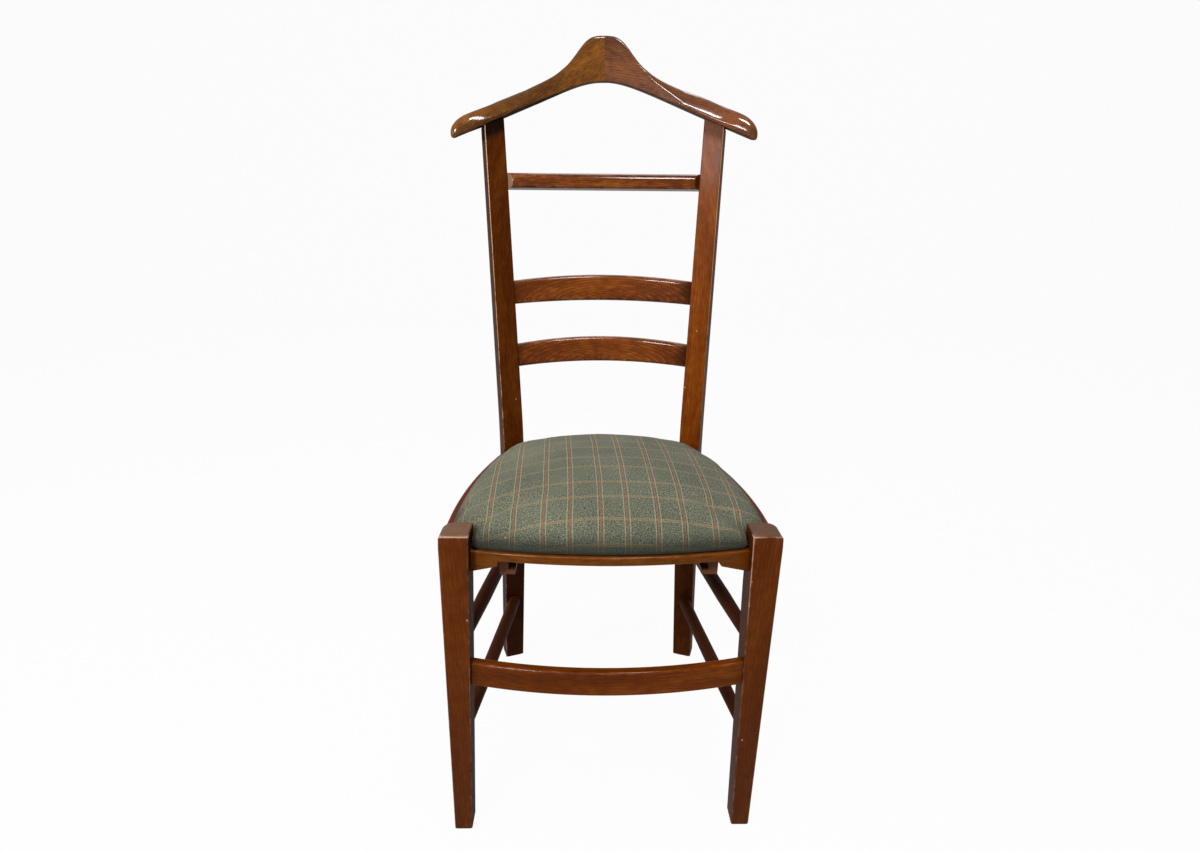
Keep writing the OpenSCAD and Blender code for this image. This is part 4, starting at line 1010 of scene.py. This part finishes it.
def pad_reach(a, inset, whole=True):
    """Distance from the pad's middle to its outline at angle a.

    It is a soft minimum of the side, front and rear arcs and, if whole, of the corner cut out
    round a front leg.
    """
    dx, dy = np.abs(np.cos(a)), np.sin(a)
    back_r = pad_back_arc()
    rays = [ray_circle(dx, dy, SIDE_X, SIDE_Y, SIDE_R - RIM_W - inset),
            ray_circle(dx, dy, 0, RAIL_CROWN + RAIL_R, RAIL_R - 0.5 - inset),
            ray_circle(dx, dy, 0, PAD_BACK - back_r, back_r - inset)]
    if whole:
        gap = 0.1 * inset - 0.4
        px = (leg_in(LEG_H) - gap - 1.6) / np.maximum(dx, 1e-4)
        py = (PAD_MID - leg_back(LEG_H) - gap) / np.maximum(-dy, 1e-4)
        big = np.maximum(px, py)
        notch = big * ((px / big) ** 90 + (py / big) ** 90) ** (1 / 90)
        rays.append(np.where(dy >= -0.01, 1e6, notch))
    rays = np.stack(rays)
    near = rays.min(0)
    edge = 150.0 if whole else 8.0
    return near * ((near / rays) ** edge).sum(0) ** (-1 / edge)


def pad_angles(count=216):
    """Angles round the pad, with the corners beside the front legs among them."""
    a = (np.arange(count) + 0.5) * 2 * math.pi / count
    x, y = leg_in(LEG_H) - 1.5, leg_back(LEG_H) + 1.5
    out = SIDE_X + math.sqrt((SIDE_R - 12) ** 2 - (y - SIDE_Y) ** 2)
    front = RAIL_CROWN + RAIL_R - math.sqrt((RAIL_R - 2) ** 2 - x * x)
    for px, py in ((x, front), (x, y), (out, y)):
        at = math.atan2(py - PAD_MID, px)
        for value in (at, math.pi - at):
            value %= 2 * math.pi
            a[np.abs(a - value).argmin()] = value
    return np.sort(a)


def pad_top(a, t):
    """Height of the pad: a shallow dome that rolls into its side."""
    side = mix(22.0, 17.0, np.where(np.sin(a) > 0, np.abs(np.sin(2 * a)) ** 4, 0))
    return 8 + (side - 8) * np.sqrt(np.maximum(1 - t ** 14, 0)) + (CROWN - side) * (1 - t * t)


def cushion_grid(inset, rings=46):
    """Closed cushion as rings round its middle: dome, side drawn in at the foot, flat underside."""
    a = pad_angles()
    t = 1 - (1 - np.linspace(0, 1, rings)[1:]) ** 1.9
    tt, aa = np.meshgrid(t, a, indexing="ij")
    inner = inset * SLACK_IN
    r = tt * mix(pad_reach(aa, inner, False), pad_reach(aa, inner), tt ** 6)
    z = PAD_UNDER + pad_top(aa, tt) - inset * SLACK_UNDER
    rows = [grid_of(r * np.cos(aa), PAD_MID + r * np.sin(aa), z)]
    for draw, height in ((0.3, 5.5), (1.0, 3.2), (2.2, 1.4), (4.0, 0.2), (9.0, 0.0)):
        reach = pad_reach(a, inner + draw)
        rows.append(grid_of(reach * np.cos(a), PAD_MID + reach * np.sin(a), PAD_UNDER + height)[None])
    edge = rows[-1][0]
    for share in (0.9, 0.75, 0.5, 0.25):
        rows.append((mix(np.array([0, PAD_MID, PAD_UNDER]), edge, share))[None])
    return np.concatenate(rows), a, len(t)


# rings from the middle over which the cloth's plan is taken as it is
FLAT_RINGS = 22


def cloth_coordinates(grid, a):
    """Place on the cloth of each point: its plan, moved outwards by the roll's further length.

    The cloth was laid a little askew, so the stripes lean towards the back and the cross
    lines bend forwards at both sides, more on the left.
    """
    apex = np.array([0, PAD_MID, PAD_UNDER + CROWN])
    first = np.linalg.norm(grid[:1] - apex, axis=-1)
    steps = np.linalg.norm(np.diff(grid, axis=0), axis=-1)
    run = np.concatenate([first, steps]).cumsum(0)
    x, y = grid[..., 0], grid[..., 1]
    excess = run - np.hypot(x, y - PAD_MID)
    excess = np.maximum(excess - excess[FLAT_RINGS], 0)
    reach = pad_reach(a, 0, False)
    outline = np.stack([reach * np.cos(a), reach * np.sin(a)], -1)
    along = np.roll(outline, -1, 0) - np.roll(outline, 1, 0)
    along /= np.linalg.norm(along, axis=1, keepdims=True)
    u, v = x + along[:, 1] * excess, y - along[:, 0] * excess
    behind = np.maximum(y - 80, 0) ** 2 / (np.maximum(y - 80, 0) + 20)
    u = u + behind * (0.030 - 0.00018 * x)
    bend = np.where(x < 0, 0.00110, 0.0003) * np.clip(0.7 + y / 200, 0.7, 1)
    return np.stack([u, v + bend * x * x, np.zeros_like(u)], -1)


def wool(col, size):
    """Checked wool: heathered twill, with stripes of a rust line between two pale ones.

    Cross lines are pairs of thin tan threads. Sides and back are painted paler, as lit, and the
    foot of the front roll is painted in shade.
    """
    kit = Kit("checked_wool_cloth")
    cloth = kit.attribute("cloth", "Vector")
    u, v, _w = kit.split(cloth)
    heather = kit.noise(cloth, 620.0, 3.0, 0.85)
    patch = kit.noise(cloth, 11.0, 3.0, 0.55)
    slub_u = kit.noise(kit.stretch(cloth, (2400, 160, 1)), 1.0, 2.0, 0.6)
    slub_v = kit.noise(kit.stretch(cloth, (160, 2400, 1)), 1.0, 2.0, 0.6)
    at = kit.split(kit.node("TexCoord", {}, out="Object"))
    # painted shade on the foot of the front roll
    low = (1 - at[2].step((SEAT_H + 3) * MM, (SEAT_H + 27) * MM)) * (1 - at[1].step(-0.2, -0.1) * 0.6)
    # painted light: paler towards the back and the left side
    worn = ((v - 0.12) * 1.6 - u * 1.2 - 0.1 + (patch - 0.5) * 0.5).clamp()
    tone = (heather - 0.5) * 3.0 + (slub_u - 0.5) * 0.7 + (slub_v - 0.5) * 0.7 + (patch - 0.5) * 0.35 + 0.5
    stops = [(0.0, scaled(col.wool_dark, 0.5)), (0.35, col.wool_dark), (0.7, col.wool_pale),
             (1.0, col.wool_fleck)]
    colour = kit.node("ValToRGB", {"stops": stops}, {"Fac": tone.clamp()})
    paler = kit.blend(heather.step(0.3, 0.7), col.wool_pale, col.wool_fleck)
    # painted light: the back and left side blended paler
    colour = kit.blend(worn * 0.55, colour, paler)
    period = (size.stripe_wide + size.stripe_narrow) * MM
    wander = (kit.noise(cloth, 24.0, 2.0) - 0.5) * 0.0018

    def near(coordinate, at, repeat, width):
        """1 within half the width of at, at + repeat, at + 2 repeat and so on."""
        phase = (coordinate + wander - at + 50.5 * repeat).math("MODULO", repeat) - repeat / 2
        return 1 - phase.math("ABSOLUTE").step(width * 0.3, width * 0.65)
    broken = ((heather - 0.5) * 1.6 + (slub_u - 0.5) * 1.2 + 0.5).clamp()
    cross = None
    for start in (size.cross_start, size.cross_start + size.cross_wide):
        base = near(v, start * MM, size.cross_repeat * MM, 0.0036)
        cross = base if cross is None else cross.math("MAXIMUM", base)
        for off in (-0.0013, 0.0013):
            line = near(v, start * MM + off, size.cross_repeat * MM, 0.0011)
            colour = kit.blend(line * (broken * 0.5 + 0.3) * (1 - worn * 0.45), colour, col.check_yellow)
        middle = near(v, start * MM, size.cross_repeat * MM, 0.0014)
        colour = kit.blend(middle * (broken * 0.35 + 0.15) * (1 - worn), colour, col.stripe_rust)
    for start in (size.stripe_start * MM, (size.stripe_start + size.stripe_narrow) * MM):
        ground = near(u, start, period, 0.0075)
        colour = kit.blend(ground * 0.22, colour, scaled(col.wool_dark, 0.6))
        for off in (-0.0031, 0.0031):
            line = near(u, start + off, period, 0.0012)
            colour = kit.blend(line * (broken * 0.6 + 0.32), colour, col.stripe_cream)
        line = near(u, start, period, 0.0019)
        colour = kit.blend(line * (broken * 0.6 + 0.24), colour, col.stripe_rust)
        colour = kit.blend(line * cross * 0.55, colour, col.stripe_bright)
    # the painted shade on the foot of the front roll
    colour = kit.blend((low * 1.3).clamp() * 0.85, colour, scaled(col.wool_dark, 0.3))
    # specks of dirt and lint: place on the cloth and radius in mm, colour and strength
    for x, y, radius, speck, share in ((-87.2, 268.0, 1.3, col.beech_dark, 0.6),
                                       (-118.0, 22.0, 1.4, col.bare_wood, 0.5),
                                       (-70.0, 52.0, 1.2, col.beech_dark, 0.55)):
        away = kit.away(cloth, (x * MM, y * MM, 0))
        colour = kit.blend((1 - away.step(radius * 0.5 * MM, radius * 1.2 * MM)) * share, colour, speck)
    pitch = size.weave_pitch * MM
    twill = ((u + v) * (2 * math.pi / pitch)).math("SINE") * 0.5 + (v * (4 * math.pi / pitch)).math("SINE") * 0.3
    height = twill * 0.5 + heather * 1.2
    return kit.surface(Base_Color=colour, Roughness=0.92, Normal=kit.bump(height, 0.0003, 0.6),
                       Sheen_Weight=0.08, Sheen_Roughness=0.45, Specular_IOR_Level=0.15)


SWELL_FRAMES = 20


def swell(obj, drawn, held, cap, share):
    """Cushions obj: cloth under pressure with its underside held, each point kept within cap.

    drawn is its points before they were placed, and share is how much of its move each point
    keeps, which fades over the roll to the foot.
    """
    mesh = obj.data
    start = np.empty(len(mesh.vertices) * 3)
    mesh.vertices.foreach_get("co", start)
    group = obj.vertex_groups.new(name="held")
    group.add(held.tolist(), 1.0, "REPLACE")
    cloth = obj.modifiers.new("Cloth", "CLOTH")
    cloth.settings.vertex_group_mass = "held"
    cloth.settings.use_pressure = True
    cloth.settings.uniform_pressure_force = 4
    cloth.settings.effector_weights.gravity = 0
    cloth.settings.tension_stiffness = 40
    cloth.settings.compression_stiffness = 40
    cloth.settings.bending_stiffness = 2
    cloth.point_cache.frame_end = SWELL_FRAMES
    scene = bpy.context.scene
    for number in range(1, SWELL_FRAMES + 1):
        scene.frame_set(number)
    result = obj.evaluated_get(bpy.context.evaluated_depsgraph_get()).data
    end = np.empty_like(start)
    result.vertices.foreach_get("co", end)
    move = (end - start).reshape(-1, 3)
    far = np.linalg.norm(move, axis=1, keepdims=True)
    move *= np.minimum(1, cap / np.maximum(far, 1e-9)) * share[:, None]
    obj.modifiers.remove(cloth)
    moved = drawn + move / MM
    # no point passes the outline that the legs and rails leave
    x, y = moved[:, 0], moved[:, 1] - PAD_MID
    reach = np.maximum(np.hypot(x, y), 1e-6)
    kept = np.minimum(1, pad_reach(np.arctan2(y, x), 0) / reach)
    moved[:, :2] = [0, PAD_MID] + np.stack([x, y], -1) * kept[:, None]
    mesh.vertices.foreach_set("co", place(moved).ravel())
    mesh.update()
    scene.frame_set(1)
    print("cushion swell mm: mean %.2f, most %.2f" % (far.mean() / MM, far.max() / MM))


class VALET_OT_cushion(bpy.types.Operator):
    """Crowned seat cushion in checked wool, swelled as cloth under pressure"""
    bl_idname = "valet.cushion"
    bl_label = "Seat cushion"

    def execute(self, context):
        size, col = finish(context)
        grid, a, top_rows = cushion_grid(size.cushion_slack)
        lift = np.clip((top_rows - np.arange(len(grid))) / 9, 0, 1) ** 0.7
        cloth = cloth_coordinates(grid, a)
        n, m = grid.shape[:2]
        flat, faces = skin(grid, cap=False)
        # fans of triangles close the middle of the crown and of the underside
        apex, base = len(flat), len(flat) + 1
        ring = np.arange(m)
        first = np.stack([ring, (ring + 1) % m, np.full(m, apex)], -1)
        last = np.stack([(ring + 1) % m + (n - 1) * m, ring + (n - 1) * m, np.full(m, base)], -1)
        order = 1 if faces[0][:2] != [0, 1] else -1
        faces += first[:, ::order].tolist() + last[:, ::order].tolist()
        crown = PAD_UNDER + CROWN - size.cushion_slack * SLACK_UNDER
        points = np.concatenate([flat, [[0, PAD_MID, crown], [0, PAD_MID, PAD_UNDER]]])
        coords = np.concatenate([cloth.reshape(-1, 3), [[0, 0, 0], [0, 0, 0]]])
        mesh = bpy.data.meshes.new("seat_cushion")
        mesh.from_pydata(place(points), [], faces)
        put(mesh, "cloth", "FLOAT_VECTOR", coords * MM)
        mesh.shade_smooth()
        mesh.materials.append(wool(col, size))
        obj = bpy.data.objects.new("seat_cushion", mesh)
        context.scene.collection.objects.link(obj)
        held = np.concatenate([np.arange((top_rows + 1) * m, n * m), [base]])
        swell(obj, points, held, size.cushion_cap * MM, np.append(np.repeat(lift, m), [1, 0]))
        round_off = obj.modifiers.new("Smooth", "SUBSURF")
        round_off.levels = round_off.render_levels = 1
        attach(obj, "root")
        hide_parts("seat_cover", "seat_foam")
        return {"FINISHED"}


class VALET_OT_hidden_parts(bpy.types.Operator):
    """Finishes for the board, the dowels and the screws"""
    bl_idname = "valet.hidden_parts"
    bl_label = "Board, dowels and screws"

    def execute(self, context):
        _size, col = finish(context)

        def plain(name, colour, stretch, rough, metal=0.0):
            kit = Kit(name)
            at = kit.node("TexCoord", {}, out="Object")
            streak = kit.noise(kit.stretch(at, stretch), 1.0, 4.0, 0.6)
            cloud = kit.noise(at, 30.0, 2.0)
            tone = kit.blend((streak * 0.8 + cloud * 0.4).step(0.3, 0.9), scaled(colour, 0.6),
                             scaled(colour, 1.1))
            return kit.surface(Base_Color=tone, Roughness=(cloud * 0.2 + rough - 0.1).clamp(), Metallic=metal,
                               Normal=kit.bump(streak, 0.0001, 0.4))
        board = plain("plywood_face", col.plywood, (12, 300, 300), 0.7)
        dowel = plain("bare_beech", col.dowel, (400, 400, 400), 0.6)
        steel = plain("screw_steel_face", col.steel, (900, 900, 60), 0.35, 1.0)
        for node, material in (("seat_board", board), ("rail_dowels", dowel), ("hanger_joint_dowels", dowel),
                               ("hanger_post_dowels", dowel), ("seat_screws", steel), ("runner_screws", steel)):
            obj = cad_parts[node]
            obj.data.materials.clear()
            obj.data.materials.append(material)
        return {"FINISHED"}


class VALET_OT_stage(bpy.types.Operator):
    """Pale floor, soft lights and the camera"""
    bl_idname = "valet.stage"
    bl_label = "Stage"

    def execute(self, context):
        _size, col = finish(context)
        scene = context.scene
        kit = Kit("floor_face")
        camera_ray, glossy_ray, transmission_ray = kit.rays()
        seen = camera_ray + (glossy_ray + transmission_ray) * 0.3
        plain = kit.node("BsdfDiffuse", {}, {"Color": col.floor})
        white = kit.node("Emission", {}, {"Color": (1, 1, 1), "Strength": 1.0})
        mixed = kit.node("MixShader", {}, {0: seen * 0.96, 1: plain, 2: white})
        kit.node("OutputMaterial", {}, {"Surface": mixed})
        # floor running up into a backdrop: a profile carried sideways
        turn = np.linspace(0, math.pi / 2, 13)
        curve = np.stack([4 + np.sin(turn), 1 - np.cos(turn)], -1)
        profile = np.concatenate([[[-6.0, 0.0]], curve, [[5.0, 6.0]]])
        points = grid_of(np.array([[-7.0], [7.0]]), profile[:, 0], profile[:, 1]).reshape(-1, 3)
        k = len(profile)
        mesh = bpy.data.meshes.new("floor")
        mesh.from_pydata(points, [], [[i, i + k, i + k + 1, i + 1] for i in range(k - 1)])
        mesh.shade_smooth()
        mesh.materials.append(kit.owner)
        floor = bpy.data.objects.new("floor", mesh)
        scene.collection.objects.link(floor)
        # a dim world that is white to the camera
        scene.world = bpy.data.worlds.new("studio")
        kit = Kit(scene.world)
        camera_ray, glossy_ray, transmission_ray = kit.rays()
        strength = camera_ray * 0.8 + 0.2 + glossy_ray * 0.08 + transmission_ray * 0.08
        back = kit.node("Background", {}, {"Color": (1, 1, 1), "Strength": strength})
        kit.node("OutputWorld", {}, {"Surface": back})
        for name, at, aim_z, wide, power in (("key", (-0.95, -1.85, 2.1), 0.6, 0.55, 39.0),
                                             ("left", (-2.2, -0.9, 1.5), 0.6, 0.9, 17.0),
                                             ("top", (0.3, -0.65, 2.6), 0.5, 0.4, 21.0),
                                             ("back", (0.3, 2.4, 3.2), 0.6, 1.4, 17.0)):
            data = bpy.data.lights.new(name, "AREA")
            data.size = wide
            data.energy = power
            lamp = bpy.data.objects.new(name, data)
            lamp.location = at
            gaze = np.array([0, 0, aim_z]) - at
            lamp.rotation_euler = (math.atan2(math.hypot(gaze[0], gaze[1]), -gaze[2]), 0,
                                   math.atan2(-gaze[0], gaze[1]))
            scene.collection.objects.link(lamp)
        # camera solved from the chair's own corners, in pixels of a picture this large
        wide, high = 1200, 851
        focal, centre = 637.3447, (592.606, 461.593)
        pitch, yaw, roll = (math.radians(v) for v in (21.63872, 0.95704, 0.49105))
        ahead = np.array([math.sin(yaw) * math.cos(pitch), math.cos(yaw) * math.cos(pitch), -math.sin(pitch)])
        level = np.array([math.cos(yaw), -math.sin(yaw), 0.0])
        rise = np.cross(level, ahead)
        right = math.cos(roll) * level + math.sin(roll) * rise
        up = -math.sin(roll) * level + math.cos(roll) * rise
        data = bpy.data.cameras.new("camera")
        data.sensor_width = 36
        data.sensor_fit = "HORIZONTAL"
        data.lens = data.sensor_width * focal / wide
        data.shift_x = (wide / 2 - centre[0]) / wide
        data.shift_y = (centre[1] - high / 2) / wide
        data.clip_start = 0.05
        camera = bpy.data.objects.new("camera", data)
        matrix = np.eye(4)
        matrix[:3, 0], matrix[:3, 1], matrix[:3, 2] = right, up, -ahead
        matrix[:3, 3] = [-0.030392, -0.859202 + (FRONT + 0.239718), 0.786130]
        camera.matrix_world = Matrix(matrix.tolist())
        scene.collection.objects.link(camera)
        scene.camera = camera
        scene.view_settings.view_transform = "Standard"
        return {"FINISHED"}


PIECES = (VALET_OT_stage, VALET_OT_front_legs, VALET_OT_rear_posts, VALET_OT_seat_rails, VALET_OT_stretchers,
          VALET_OT_slats, VALET_OT_trouser_bar, VALET_OT_hanger, VALET_OT_runners, VALET_OT_cushion,
          VALET_OT_hidden_parts)


class VALET_PT_panel(bpy.types.Panel):
    """Lists the pieces and their sizes and colours"""
    bl_idname = "VALET_PT_panel"
    bl_label = "Valet chair"
    bl_space_type = "VIEW_3D"
    bl_region_type = "UI"
    bl_category = "Valet chair"

    def draw(self, context):
        for piece in PIECES:
            self.layout.operator(piece.bl_idname)
        for group in (context.scene.valet_sizes, context.scene.valet_colours):
            box = self.layout.box()
            for key in type(group).__annotations__:
                box.prop(group, key)


CLASSES = (ValetSizes, ValetColours) + PIECES + (VALET_PT_panel,)


def register():
    for item in CLASSES:
        bpy.utils.register_class(item)
    bpy.types.Scene.valet_sizes = PointerProperty(type=ValetSizes)
    bpy.types.Scene.valet_colours = PointerProperty(type=ValetColours)


def unregister():
    del bpy.types.Scene.valet_sizes, bpy.types.Scene.valet_colours
    for item in reversed(CLASSES):
        bpy.utils.unregister_class(item)


def main():
    register()
    for piece in PIECES:
        group, name = piece.bl_idname.split(".")
        getattr(getattr(bpy.ops, group), name)()


if __name__ == "__main__":
    main()
